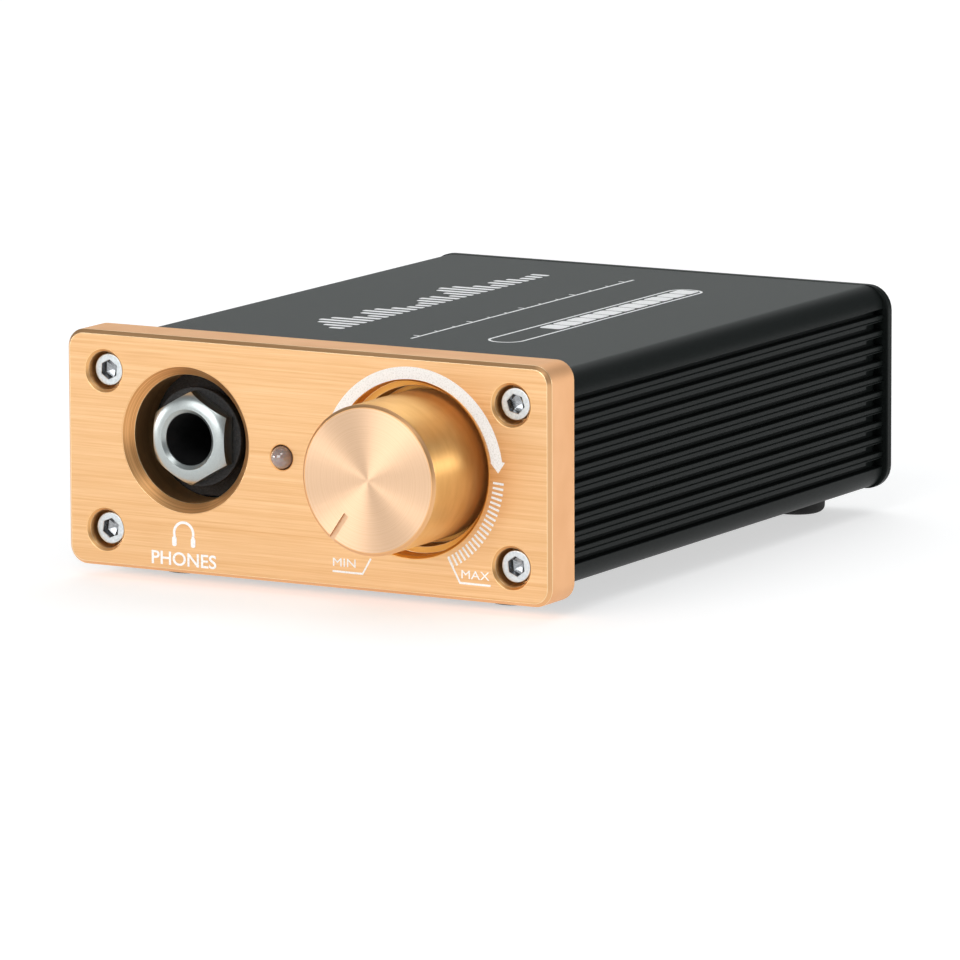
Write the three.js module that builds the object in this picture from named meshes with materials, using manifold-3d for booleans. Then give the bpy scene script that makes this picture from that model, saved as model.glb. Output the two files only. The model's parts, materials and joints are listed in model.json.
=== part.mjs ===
// Desktop headphone amplifier: a ribbed black aluminium tube closed by a thick gold front
// panel and a thin black rear panel, with the circuit board, the 6.35 mm socket, the volume
// control and the rear connectors as separate pieces.
//
// Units are millimetres. While a piece is drawn, X runs to the right, Y runs from the front
// face to the back and Z is up. Y = 0 is the front panel's face, Z = 0 its bottom edge and
// X = 0 its middle. The last group moves all of it, so that the origin is under the middle
// of the amplifier, on the surface that it stands on.

import * as THREE from 'three';
import { mergeVertices } from 'three/addons/utils/BufferGeometryUtils.js';
import Module from 'manifold-3d';

const wasm = await Module();
wasm.setup();

// ---------------------------------------------------------------- driving dimensions

const PANEL = { width: 72, height: 31, thick: 6.3, corner: 2.5, chamfer: 0.54 };
const TUBE = { width: 70, height: 27.8, middleZ: 15.25, corner: 3.0, length: 88.2 };
const TUBE_WALL = { side: 2.9, top: 1.6, innerCorner: 0.8 };
const BOARD_RAIL = { reach: 1.3, thick: 0.6, below: 0.05, above: 0.1 };
const GROOVE = { count: 11, pitch: 2.083, open: 0.82, depth: 1.3, notch: 0.11, notchDeep: 0.13 };
const BACK_PLATE = { width: 71.5, height: 28.0, middleZ: 15.2, corner: 2.9, thick: 1.3 };

const SCREW = { x: 30.3, lowZ: 4.85, highZ: 25.73, shank: 1.25, head: 2.15, headHigh: 2.5, below: 8 };
const SCREW_HOLE = { seat: 2.5, chamfer: 0.45, floorY: 3.7, clear: 1.4, tapped: 1.3, boss: 2.6 };
const HEX_KEY = { flats: 2.25, deep: 1.3 };

const FOOT = { radius: 4.0, round: 1.0, x: 24.5, spread: 38.9, height: 3.24 };

const JACK = { x: -18, z: 17.54, hole: 8.4, chamfer: 1.2, plug: 3.44, thread: 4.4 };
const LED = { x: -3.54, z: 16.41, hole: 1.7, lens: 1.5, middleY: 0.2, flangeHole: 2.2, flangeY: 2.9 };
const KNOB = { x: 15.46, z: 16.44, radius: 9.735, frontY: -10.58, backY: 4.6, chamfer: 0.4 };
const RECESS = { wide: 11.28, wideY: 2.4, narrow: 10.35, floorY: 5.3, chamfer: 0.35, shaftHole: 3.65 };
const POINTER_ANGLE = 34.5;

const BOARD = { halfWidth: 31.6, frontY: 8, backY: 93.3, topZ: 9.1, thick: 1.6 };

const RCA = { left: -22, right: -8, z: 15.3, outer: 4.15, inner: 3.4, endY: 105.3 };
const DC = { x: 23, z: 14.9, nose: 3.9, hole: 2.85, pin: 1.05 };
const TOGGLE = { x: 8, z: 14.9, thread: 3.0, bore: 2.2, pivotY: 97.0, lean: 12.5 };

const TUBE_Y0 = PANEL.thick;
const TUBE_Y1 = TUBE_Y0 + TUBE.length;
const PLATE_Y1 = TUBE_Y1 + BACK_PLATE.thick;
const TUBE_BOTTOM = TUBE.middleZ - TUBE.height / 2;
const PANEL_Z = PANEL.height / 2;
const FLOOR_Z = TUBE_BOTTOM - FOOT.height;

const DEG = Math.PI / 180;

// ---------------------------------------------------------------- finishes

const FINISHES = {
  gold: { color: 0xf0b878, roughness: 0.36, metalness: 1.0 },
  blackAnodised: { color: 0x232526, roughness: 0.42, metalness: 0.7 },
  steel: { color: 0xc4c8ca, roughness: 0.3, metalness: 1.0 },
  chrome: { color: 0xdcdedf, roughness: 0.12, metalness: 1.0 },
  brass: { color: 0xc9a04a, roughness: 0.3, metalness: 1.0 },
  tinned: { color: 0xb9b9b4, roughness: 0.4, metalness: 1.0 },
  blackPlastic: { color: 0x151515, roughness: 0.5, metalness: 0.0 },
  rubber: { color: 0x1b1b1b, roughness: 0.8, metalness: 0.0 },
  lens: { color: 0xa89c96, roughness: 0.2, metalness: 0.0 },
  board: { color: 0x17502f, roughness: 0.5, metalness: 0.0 },
  can: { color: 0x2a3550, roughness: 0.35, metalness: 0.1 },
  film: { color: 0xb0302a, roughness: 0.4, metalness: 0.0 },
  red: { color: 0xb8201c, roughness: 0.4, metalness: 0.0 },
  white: { color: 0xe6e4de, roughness: 0.4, metalness: 0.0 },
  heatSink: { color: 0x3a3c3e, roughness: 0.5, metalness: 0.8 },
};

// ---------------------------------------------------------------- shape helpers

function solidOf(geometry) {
  const bare = geometry.clone();
  bare.deleteAttribute('normal');
  bare.deleteAttribute('uv');
  const merged = mergeVertices(bare, 1e-4);
  const corners = merged.index.array;
  const kept = [];
  for (let i = 0; i < corners.length; i += 3) {
    const [a, b, c] = [corners[i], corners[i + 1], corners[i + 2]];
    if (a !== b && b !== c && c !== a) {
      kept.push(a, b, c);
    }
  }
  const mesh = new wasm.Mesh({
    numProp: 3,
    vertProperties: new Float32Array(merged.attributes.position.array),
    triVerts: new Uint32Array(kept),
  });
  return new wasm.Manifold(mesh);
}

function geometryOf(solid) {
  const mesh = solid.getMesh();
  const geometry = new THREE.BufferGeometry();
  geometry.setAttribute('position', new THREE.BufferAttribute(mesh.vertProperties.slice(), 3));
  geometry.setIndex(new THREE.BufferAttribute(mesh.triVerts.slice(), 1));
  geometry.computeVertexNormals();
  return geometry;
}

// A closed outline in X and Z, pushed along Y from y0 to y1.
function prismY(shape, y0, y1, curveSegments = 6) {
  const settings = { depth: y1 - y0, bevelEnabled: false, curveSegments };
  const geometry = new THREE.ExtrudeGeometry(shape, settings);
  geometry.rotateX(Math.PI / 2);
  geometry.translate(0, y1, 0);
  return solidOf(geometry);
}

// A closed outline in X and Y, pushed up from z0 to z1.
function prismZ(shape, z0, z1) {
  const geometry = new THREE.ExtrudeGeometry(shape, { depth: z1 - z0, bevelEnabled: false });
  geometry.translate(0, 0, z0);
  return solidOf(geometry);
}

function box(x0, x1, y0, y1, z0, z1) {
  const geometry = new THREE.BoxGeometry(x1 - x0, y1 - y0, z1 - z0);
  geometry.translate((x0 + x1) / 2, (y0 + y1) / 2, (z0 + z1) / 2);
  return solidOf(geometry);
}

// A profile of [radius, y] pairs, which rises from the axis and comes back to it, turned
// about a line along Y through (x, z).
function turnedY(profile, x, z, segments = 24) {
  const points = profile.map(([radius, y]) => new THREE.Vector2(radius, y));
  const geometry = new THREE.LatheGeometry(points, segments);
  geometry.translate(x, 0, z);
  return solidOf(geometry);
}

// The same about a vertical line through (x, y), with [radius, z] pairs.
function turnedZ(profile, x, y, segments = 20) {
  const points = profile.map(([radius, z]) => new THREE.Vector2(radius, z));
  const geometry = new THREE.LatheGeometry(points, segments);
  geometry.rotateX(Math.PI / 2);
  geometry.translate(x, y, 0);
  return solidOf(geometry);
}

function rodY(radius, y0, y1, x, z, segments = 24) {
  return turnedY([[0, y0], [radius, y0], [radius, y1], [0, y1]], x, z, segments);
}

function tubeY(outer, inner, y0, y1, x, z, segments = 24) {
  return rodY(outer, y0, y1, x, z, segments).subtract(rodY(inner, y0 - 1, y1 + 1, x, z, segments));
}

// A six-sided bar along Y, with two corners straight up and down.
function hexY(flats, y0, y1, x, z) {
  return rodY(flats / Math.sqrt(3), y0, y1, x, z, 6);
}

// The space of a round hole from the front face: a chamfered mouth, then the bore to endY.
function mouthY(radius, chamfer, endY, x, z, segments) {
  const flare = radius + chamfer + 1;
  const profile = [[0, -1], [flare, -1], [radius, chamfer], [radius, endY], [0, endY]];
  return turnedY(profile, x, z, segments);
}

function roundedOutline(width, height, corner, middleZ) {
  const shape = new THREE.Shape();
  const right = width / 2 - corner;
  const top = middleZ + height / 2 - corner;
  const bottom = middleZ - height / 2 + corner;
  shape.absarc(right, bottom, corner, -Math.PI / 2, 0, false);
  shape.absarc(right, top, corner, 0, Math.PI / 2, false);
  shape.absarc(-right, top, corner, Math.PI / 2, Math.PI, false);
  shape.absarc(-right, bottom, corner, Math.PI, Math.PI * 1.5, false);
  shape.closePath();
  return shape;
}

// ---------------------------------------------------------------- the scene graph

const amplifier = new THREE.Group();
amplifier.position.set(0, -(KNOB.frontY + RCA.endY) / 2, -FLOOR_Z);

function place(name, solid, finish, parent = amplifier) {
  const mesh = new THREE.Mesh(geometryOf(solid), new THREE.MeshStandardMaterial(FINISHES[finish]));
  mesh.name = name;
  parent.add(mesh);
}

const CORNERS = [
  { name: 'upper_left', x: -SCREW.x, z: SCREW.highZ },
  { name: 'upper_right', x: SCREW.x, z: SCREW.highZ },
  { name: 'lower_left', x: -SCREW.x, z: SCREW.lowZ },
  { name: 'lower_right', x: SCREW.x, z: SCREW.lowZ },
];

// ---------------------------------------------------------------- case

// The right-hand edge of the tube's section, from the lowest groove to the highest. Each
// rib between two grooves has a fine notch along its middle.
function ribPoints() {
  const points = [];
  const edge = TUBE.width / 2;
  for (let i = 0; i < GROOVE.count; i += 1) {
    const middle = TUBE.middleZ + (i - (GROOVE.count - 1) / 2) * GROOVE.pitch;
    const low = middle - GROOVE.open / 2;
    const high = middle + GROOVE.open / 2;
    points.push([edge, low], [edge - GROOVE.depth, low], [edge - GROOVE.depth, high], [edge, high]);
    if (i < GROOVE.count - 1) {
      const line = middle + GROOVE.pitch / 2;
      points.push([edge, line - GROOVE.notch], [edge - GROOVE.notchDeep, line], [edge, line + GROOVE.notch]);
    }
  }
  return points;
}

function tubeOutline() {
  const shape = new THREE.Shape();
  const right = TUBE.width / 2 - TUBE.corner;
  const top = TUBE.middleZ + TUBE.height / 2 - TUBE.corner;
  const bottom = TUBE_BOTTOM + TUBE.corner;
  const ribs = ribPoints();
  shape.absarc(right, bottom, TUBE.corner, -Math.PI / 2, 0, false);
  ribs.forEach(([x, z]) => shape.lineTo(x, z));
  shape.absarc(right, top, TUBE.corner, 0, Math.PI / 2, false);
  shape.absarc(-right, top, TUBE.corner, Math.PI / 2, Math.PI, false);
  ribs.reverse().forEach(([x, z]) => shape.lineTo(-x, z));
  shape.absarc(-right, bottom, TUBE.corner, Math.PI, Math.PI * 1.5, false);
  shape.closePath();
  return shape;
}

function caseTube() {
  const insideX = TUBE.width / 2 - TUBE_WALL.side;
  const insideHeight = TUBE.height - 2 * TUBE_WALL.top;
  const hollow = roundedOutline(2 * insideX, insideHeight, TUBE_WALL.innerCorner, TUBE.middleZ);
  let tube = prismY(tubeOutline(), TUBE_Y0, TUBE_Y1);
  tube = tube.subtract(prismY(hollow, TUBE_Y0 - 1, TUBE_Y1 + 1, 3));
  const lowRailTop = BOARD.topZ - BOARD.thick - BOARD_RAIL.below;
  const highRailBottom = BOARD.topZ + BOARD_RAIL.above;
  for (const side of [-1, 1]) {
    const ends = [side * (insideX - BOARD_RAIL.reach), side * (insideX + TUBE_WALL.side / 5)];
    const [x0, x1] = [Math.min(...ends), Math.max(...ends)];
    tube = tube.add(box(x0, x1, TUBE_Y0, TUBE_Y1, lowRailTop - BOARD_RAIL.thick, lowRailTop));
    tube = tube.add(box(x0, x1, TUBE_Y0, TUBE_Y1, highRailBottom, highRailBottom + BOARD_RAIL.thick));
  }
  for (const { x, z } of CORNERS) {
    tube = tube.add(rodY(SCREW_HOLE.boss, TUBE_Y0, TUBE_Y1, x, z, 20));
    tube = tube.subtract(rodY(SCREW_HOLE.tapped, TUBE_Y0 - 1, TUBE_Y1 + 1, x, z, 12));
  }
  return tube;
}

function frontPanel() {
  const { width, height, thick, corner, chamfer } = PANEL;
  const blank = new THREE.ExtrudeGeometry(roundedOutline(width, height, corner, PANEL_Z), {
    depth: thick, bevelEnabled: true, bevelThickness: chamfer, bevelSize: chamfer,
    bevelOffset: -chamfer, bevelSegments: 1, curveSegments: 6,
  });
  blank.rotateX(Math.PI / 2);
  blank.translate(0, thick + chamfer, 0);
  let panel = solidOf(blank).intersect(box(-width, width, -1, thick, -1, height + 1));
  for (const { x, z } of CORNERS) {
    panel = panel.subtract(mouthY(SCREW_HOLE.seat, SCREW_HOLE.chamfer, SCREW_HOLE.floorY, x, z, 20));
    panel = panel.subtract(rodY(SCREW_HOLE.clear, 0, thick + 1, x, z, 12));
  }
  panel = panel.subtract(mouthY(JACK.hole, JACK.chamfer, thick + 1, JACK.x, JACK.z, 40));
  panel = panel.subtract(mouthY(RECESS.wide, RECESS.chamfer, RECESS.wideY, KNOB.x, KNOB.z, 48));
  panel = panel.subtract(rodY(RECESS.narrow, 0, RECESS.floorY, KNOB.x, KNOB.z, 48));
  panel = panel.subtract(rodY(RECESS.shaftHole, 0, thick + 1, KNOB.x, KNOB.z, 20));
  panel = panel.subtract(rodY(LED.hole, -1, thick + 1, LED.x, LED.z, 20));
  return panel.subtract(rodY(LED.flangeHole, LED.flangeY, thick + 1, LED.x, LED.z, 20));
}

function rearPanel() {
  const { width, height, corner, middleZ } = BACK_PLATE;
  let plate = prismY(roundedOutline(width, height, corner, middleZ), TUBE_Y1, PLATE_Y1);
  const holes = CORNERS.map(({ x, z }) => [x, z, SCREW_HOLE.clear, 12]);
  const phonoHole = RCA.outer + 0.2;
  holes.push([RCA.left, RCA.z, phonoHole, 24], [RCA.right, RCA.z, phonoHole, 24]);
  holes.push([DC.x, DC.z, DC.nose + 0.1, 24], [TOGGLE.x, TOGGLE.z, TOGGLE.thread + 0.1, 20]);
  for (const [x, z, radius, segments] of holes) {
    plate = plate.subtract(rodY(radius, TUBE_Y1 - 1, PLATE_Y1 + 1, x, z, segments));
  }
  return plate;
}

// A socket cap screw with its head's top at y = 0 and its shank towards +Y.
function capScrew() {
  const { head, headHigh, shank, below } = SCREW;
  const rim = 0.2;
  const point = 0.4;
  const end = headHigh + below;
  const profile = [[0, 0], [head - rim, 0], [head, rim], [head, headHigh], [shank, headHigh]];
  profile.push([shank, end - point], [shank - point, end], [0, end]);
  return turnedY(profile, 0, 0, 16).subtract(hexY(HEX_KEY.flats, -1, HEX_KEY.deep, 0, 0));
}

function screws() {
  const front = capScrew();
  const rear = capScrew().rotate([0, 0, 180]);
  const frontTop = SCREW_HOLE.floorY - SCREW.headHigh;
  const rearTop = PLATE_Y1 + SCREW.headHigh;
  for (const { name, x, z } of CORNERS) {
    place(`front_screw_${name}`, front.translate([x, frontTop, z]), 'steel');
    place(`rear_screw_${name}`, rear.translate([x, rearTop, z]), 'steel');
  }
}

function feet() {
  const { radius, round, x, spread, height } = FOOT;
  const profile = [[0, 0], [radius - round, 0]];
  const steps = 3;
  for (let step = 1; step <= steps; step += 1) {
    const turn = (step / steps) * (Math.PI / 2);
    profile.push([radius - round + round * Math.sin(turn), round - round * Math.cos(turn)]);
  }
  profile.push([radius, height], [0, height]);
  const middleY = (TUBE_Y0 + TUBE_Y1) / 2;
  for (const [row, y] of [['front', middleY - spread], ['rear', middleY + spread]]) {
    for (const [hand, side] of [['left', -1], ['right', 1]]) {
      const foot = turnedZ(profile.map(([r, z]) => [r, z + FLOOR_Z]), side * x, y, 20);
      place(`foot_${row}_${hand}`, foot, 'rubber');
    }
  }
}

// ---------------------------------------------------------------- headphone socket

const JACK_BODY = { half: 8.9, topZ: 26.4, frontY: 6.6, backY: 36, collar: 5.6, collarY: 3.8, bore: 3.6 };
const JACK_BUSH = { frontY: 1.05, backY: 12 };
const JACK_WASHER = { radius: 6.55, frontY: 3.05, backY: 3.75 };
const JACK_NUT = { flats: 10.7, frontY: 0.4, backY: 3.0, nose: 4.5, lipY: 0.6, flare: 1.35, flareY: 0.35 };
const CONTACT = { inner: 3.35, outer: 3.75, halfLeaf: 1.4, halfLeg: 0.6, rise: 1.2 };
const THREAD_GAP = 0.08;
const PIN_LENGTH = 1.6;
const PIN_GAP = 0.2;
const JACK_CONTACTS = [
  { name: 'sleeve', y: 14, side: -1 },
  { name: 'ring', y: 22, side: 1 },
  { name: 'tip', y: 30, side: -1 },
];

// Each contact is a leaf beside the plug's path with a leg down through the board.
function jackContact({ y, side }, grow = 0) {
  const inner = CONTACT.inner - grow;
  const outer = CONTACT.outer + grow;
  const x0 = JACK.x + (side > 0 ? inner : -outer);
  const x1 = JACK.x + (side > 0 ? outer : -inner);
  const halfLeaf = CONTACT.halfLeaf + grow;
  const halfLeg = CONTACT.halfLeg + grow;
  const leafTop = JACK.z + CONTACT.rise + grow;
  const legBottom = BOARD.topZ - BOARD.thick - PIN_LENGTH;
  const leaf = box(x0, x1, y - halfLeaf, y + halfLeaf, BOARD.topZ - grow, leafTop);
  return leaf.add(box(x0, x1, y - halfLeg, y + halfLeg, legBottom, BOARD.topZ));
}

function jackBody() {
  const { half, topZ, frontY, backY, collar, collarY, bore } = JACK_BODY;
  const bushHole = JACK.thread + THREAD_GAP;
  let body = box(JACK.x - half, JACK.x + half, frontY, backY, BOARD.topZ, topZ);
  body = body.add(rodY(collar, collarY, frontY + 1, JACK.x, JACK.z, 24));
  body = body.subtract(rodY(bushHole, 0, JACK_BUSH.backY + 0.1, JACK.x, JACK.z, 24));
  body = body.subtract(rodY(bore, 0, backY - 2, JACK.x, JACK.z, 24));
  for (const contact of JACK_CONTACTS) {
    body = body.subtract(jackContact(contact, PIN_GAP));
  }
  return body;
}

function jackNut() {
  const { flats, frontY, backY, nose, lipY, flare, flareY } = JACK_NUT;
  const wide = flats / Math.sqrt(3) + 0.2;
  const dome = [[0, frontY], [nose, frontY], [nose + 0.6, frontY + 0.35], [wide, frontY + 1.25]];
  dome.push([wide, backY], [0, backY]);
  const bar = hexY(flats, frontY, backY, JACK.x, JACK.z);
  const shaped = bar.intersect(turnedY(dome, JACK.x, JACK.z, 36));
  const thread = JACK.thread + THREAD_GAP;
  const mouth = [[0, frontY - 1], [JACK.plug + flare, frontY - 1], [JACK.plug, frontY + flareY]];
  mouth.push([JACK.plug, frontY + lipY], [thread, frontY + lipY], [thread, backY + 1], [0, backY + 1]);
  return shaped.subtract(turnedY(mouth, JACK.x, JACK.z, 24));
}

function headphoneSocket() {
  const { x, z, thread, plug } = JACK;
  const bush = tubeY(thread, plug, JACK_BUSH.frontY, JACK_BUSH.backY, x, z);
  const washer = tubeY(JACK_WASHER.radius, thread + 0.15, JACK_WASHER.frontY, JACK_WASHER.backY, x, z, 28);
  place('jack_body', jackBody(), 'blackPlastic');
  place('jack_bush', bush, 'blackPlastic');
  place('jack_washer', washer, 'blackPlastic');
  place('jack_nut', jackNut(), 'chrome');
  for (const contact of JACK_CONTACTS) {
    place(`jack_${contact.name}_contact`, jackContact(contact), 'tinned');
  }
}

// ---------------------------------------------------------------- volume control

const POT = { half: 5, frontY: 8.3, backY: 15.8, rise: 5.4, thread: 3.5, bushingY: 2.4 };
const POT_NUT = { flats: 10, frontY: 2.8, backY: 4.7 };
const POT_WASHER = { radius: 5.6, frontY: 4.75, backY: 5.25 };
const SHAFT = { radius: 3.0, frontY: -5, backY: 12, flatY: 1.5, flatDepth: 2.3 };
const KNOB_BORE = { radius: 3.1, endY: -5.4, hollow: 7.0, hollowY: 1.8 };
const POINTER = { halfWidth: 0.4, deep: 0.4, inner: 5.7 };
const SET_SCREW = { radius: 1.5, y: -2, inner: 2.6, outer: 8.6, key: 0.87, keyDeep: 1.6 };

function volumeControl() {
  const { x, z } = KNOB;
  const inside = SHAFT.radius + 0.1;
  let body = box(x - POT.half, x + POT.half, POT.frontY, POT.backY, BOARD.topZ, z + POT.rise);
  body = body.subtract(rodY(inside, POT.frontY - 1, SHAFT.backY + 0.3, x, z, 20));
  place('volume_pot_body', body, 'tinned');
  place('volume_pot_bushing', tubeY(POT.thread, inside, POT.bushingY, POT.frontY, x, z, 20), 'brass');
  const nut = hexY(POT_NUT.flats, POT_NUT.frontY, POT_NUT.backY, x, z);
  const nutHole = rodY(POT.thread + THREAD_GAP, POT_NUT.frontY - 1, POT_NUT.backY + 1, x, z, 20);
  place('volume_pot_nut', nut.subtract(nutHole), 'tinned');
  const washerHole = POT.thread + 0.15;
  const washer = tubeY(POT_WASHER.radius, washerHole, POT_WASHER.frontY, POT_WASHER.backY, x, z, 20);
  place('volume_pot_washer', washer, 'tinned');
}

// The knob, with the pointer's groove and the set screw's hole straight down.
function knobSolid() {
  const { radius, frontY, backY, chamfer } = KNOB;
  const bevel = 0.3;
  const profile = [[0, frontY], [radius - chamfer, frontY], [radius, frontY + chamfer]];
  profile.push([radius, backY - bevel], [radius - bevel, backY], [0, backY]);
  let knob = turnedY(profile, 0, 0, 48);
  knob = knob.subtract(rodY(KNOB_BORE.hollow, KNOB_BORE.hollowY, backY + 1, 0, 0, 24));
  knob = knob.subtract(rodY(KNOB_BORE.radius, KNOB_BORE.endY, backY + 1, 0, 0, 20));
  const { halfWidth, deep, inner } = POINTER;
  knob = knob.subtract(box(-halfWidth, halfWidth, frontY - 1, frontY + deep, -radius - 1, -inner));
  const hole = SET_SCREW.radius + 0.1;
  const drilled = [[0, -radius - 1], [hole, -radius - 1], [hole, -2], [0, -2]];
  return knob.subtract(turnedZ(drilled, 0, SET_SCREW.y, 16));
}

function setScrew() {
  const { radius, y, inner, outer, key, keyDeep } = SET_SCREW;
  const rim = 0.2;
  const profile = [[0, -outer], [radius - rim, -outer], [radius, rim - outer], [radius, -inner], [0, -inner]];
  const socket = [[0, -outer - 1], [key, -outer - 1], [key, keyDeep - outer], [0, keyDeep - outer]];
  return turnedZ(profile, 0, y, 16).subtract(turnedZ(socket, 0, y, 6));
}

// The knob, its set screw and the shaft are drawn about the axis of rotation, and the group
// turns them to the low end stop.
function volumeKnob() {
  const turning = new THREE.Group();
  turning.position.set(KNOB.x, 0, KNOB.z);
  turning.rotation.y = POINTER_ANGLE * DEG;
  amplifier.add(turning);
  const { radius, frontY, backY, flatY, flatDepth } = SHAFT;
  const shaft = rodY(radius, frontY, backY, 0, 0, 20);
  const flat = box(-radius - 1, radius + 1, frontY - 1, flatY, -radius - 1, -flatDepth);
  place('volume_knob', knobSolid(), 'gold', turning);
  place('knob_set_screw', setScrew(), 'steel', turning);
  place('volume_pot_shaft', shaft.subtract(flat), 'tinned', turning);
}

// ---------------------------------------------------------------- indicator lamp

const LED_LEAD = { gap: 2.54, thick: 0.5, frontY: 4.35, bendY: 11.5 };
const LED_FLANGE = { radius: 1.9, frontY: 3.1, backY: 4.1 };

function ledLead(side, grow = 0) {
  const half = LED_LEAD.thick / 2 + grow;
  const x = LED.x + side * LED_LEAD.gap / 2;
  const { frontY, bendY } = LED_LEAD;
  const bottom = BOARD.topZ - BOARD.thick - PIN_LENGTH;
  const run = box(x - half, x + half, frontY - grow, bendY + half, LED.z - half, LED.z + half);
  return run.add(box(x - half, x + half, bendY - half, bendY + half, bottom, LED.z));
}

function indicatorLamp() {
  const { lens, middleY } = LED;
  const profile = [];
  const steps = 5;
  for (let step = 0; step <= steps; step += 1) {
    const turn = (step / steps) * (Math.PI / 2);
    profile.push([lens * Math.sin(turn), middleY - lens * Math.cos(turn)]);
  }
  const { radius, frontY, backY } = LED_FLANGE;
  profile.push([lens, frontY], [radius, frontY], [radius, backY], [0, backY]);
  place('led_lens', turnedY(profile, LED.x, LED.z, 20), 'lens');
  place('led_lead_anode', ledLead(-1), 'tinned');
  place('led_lead_cathode', ledLead(1), 'tinned');
}

// ---------------------------------------------------------------- rear connectors

const BEHIND_PLATE = TUBE_Y1 - 0.1;
const PHONO_HOUSING = { frontY: 83, margin: 7, rise: 6 };
const PHONO = { shellY: 88, insideY: 88.2, insulatorY: 103.3, bore: 1.95, contact: 1.85, hole: 1.6 };
const DC_BODY = { half: 4.5, frontY: 81, rise: 5.2, holeY: 86, pinY: 83.2, tipY: 95.2 };
const SWITCH = { half: 3.6, frontY: 83, rise: 5.6, bushingY: 100, nutFlats: 8, nutThick: 1.85 };

function phonoSockets() {
  const { frontY, margin, rise } = PHONO_HOUSING;
  const [low, high] = [RCA.left - margin, RCA.right + margin];
  let housing = box(low, high, frontY, BEHIND_PLATE, BOARD.topZ, RCA.z + rise);
  for (const [hand, x, colour] of [['left', RCA.left, 'white'], ['right', RCA.right, 'red']]) {
    const shell = tubeY(RCA.outer, RCA.inner, PHONO.shellY, RCA.endY, x, RCA.z);
    const insulator = tubeY(RCA.inner - 0.1, PHONO.bore, PHONO.insideY, PHONO.insulatorY, x, RCA.z, 20);
    const contact = tubeY(PHONO.contact, PHONO.hole, PHONO.insideY, PHONO.insulatorY - 0.3, x, RCA.z, 16);
    housing = housing.subtract(rodY(RCA.outer + 0.1, PHONO.shellY - 0.1, TUBE_Y1, x, RCA.z));
    place(`phono_shell_${hand}`, shell, 'chrome');
    place(`phono_insulator_${hand}`, insulator, colour);
    place(`phono_contact_${hand}`, contact, 'brass');
  }
  place('phono_housing', housing, 'blackPlastic');
}

function powerSocket() {
  const { x, z, nose, hole, pin } = DC;
  const { half, frontY, rise, holeY, pinY, tipY } = DC_BODY;
  let body = box(x - half, x + half, frontY, BEHIND_PLATE, BOARD.topZ, z + rise);
  body = body.add(rodY(nose, BEHIND_PLATE - 1, PLATE_Y1 + 0.4, x, z));
  body = body.subtract(rodY(hole, holeY, PLATE_Y1 + 1, x, z, 20));
  body = body.subtract(rodY(pin + 0.1, pinY - 0.2, holeY + 1, x, z, 12));
  place('power_socket_body', body, 'blackPlastic');
  const profile = [[0, pinY], [pin, pinY], [pin, tipY - 0.6], [pin - 0.4, tipY], [0, tipY]];
  place('power_socket_pin', turnedY(profile, x, z, 12), 'tinned');
}

// The bat lever is drawn along +Y from its pivot, and the group tips it to its lower stop.
function powerSwitch() {
  const { x, z, thread, bore, pivotY, lean } = TOGGLE;
  const { half, frontY, rise, bushingY, nutFlats, nutThick } = SWITCH;
  const bodyBack = BEHIND_PLATE - 0.6;
  const nutY = PLATE_Y1 + 0.05;
  const body = box(x - half, x + half, frontY, bodyBack, BOARD.topZ, z + rise);
  const nut = hexY(nutFlats, nutY, nutY + nutThick, x, z);
  const nutHole = rodY(thread + THREAD_GAP, nutY - 1, nutY + nutThick + 1, x, z, 20);
  place('switch_body', body, 'blackPlastic');
  place('switch_bushing', tubeY(thread, bore, bodyBack + 0.1, bushingY, x, z, 20), 'chrome');
  place('switch_nut', nut.subtract(nutHole), 'chrome');

  const tilting = new THREE.Group();
  tilting.position.set(x, pivotY, z);
  tilting.rotation.x = -lean * DEG;
  amplifier.add(tilting);
  const ball = [[0, -1.7], [0.9, -1.45], [1.45, -0.9], [1.7, 0], [1.45, 0.9], [0.95, 1.4]];
  const bat = [[1.05, 4.5], [1.35, 6.6], [1.2, 7.3], [0.7, 7.75], [0, 7.9]];
  place('switch_lever', turnedY([...ball, ...bat], 0, 0, 16), 'chrome', tilting);
}

// ---------------------------------------------------------------- circuit board

const BOARD_GAP = 0.05;
const CAPACITORS = [
  { x: 25, y: 66, radius: 5 },
  { x: 13.5, y: 66, radius: 5 },
  { x: -25, y: 48, radius: 4 },
  { x: -15.5, y: 48, radius: 4 },
];
const CAPACITOR = { height: 11.5, crimpZ: 1.2, crimp: 0.25, rim: 0.3 };
const FILM_CAPACITORS = [{ name: 'left', x: -22, y: 72 }, { name: 'right', x: -8, y: 72 }];
const FILM = { halfWidth: 3.6, halfDepth: 1.8, height: 7.5 };
const TRANSISTORS = [{ name: 'left', x: -24, y: 60 }, { name: 'right', x: -12, y: 60 }];
const TRANSISTOR = { halfWidth: 3.9, halfDepth: 1.3, height: 11, hole: 1.6, holeZ: 7.6 };
const CHIP = { x: 2, y: 46, halfWidth: 4.7, halfDepth: 3.2, height: 3.3 };
const CHIP_SOCKET = { half: 5, height: 4 };
const REGULATOR = { x: 20, y: 46, halfWidth: 5, halfDepth: 2.2, height: 9 };
const HEAT_SINK = { halfWidth: 7.5, plate: 1.5, fins: 5, finThick: 1, deep: 6, height: 11 };

function circuitBoard() {
  const { halfWidth, frontY, backY, topZ, thick } = BOARD;
  let board = box(-halfWidth, halfWidth, frontY, backY, topZ - thick, topZ);
  for (const contact of JACK_CONTACTS) {
    board = board.subtract(jackContact(contact, PIN_GAP));
  }
  for (const side of [-1, 1]) {
    board = board.subtract(ledLead(side, PIN_GAP));
  }
  place('circuit_board', board, 'board');
}

// A box on the board, in the middle of a place {x, y}.
function chipBox({ x, y }, halfWidth, halfDepth, z0, height) {
  return box(x - halfWidth, x + halfWidth, y - halfDepth, y + halfDepth, z0, z0 + height);
}

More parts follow.
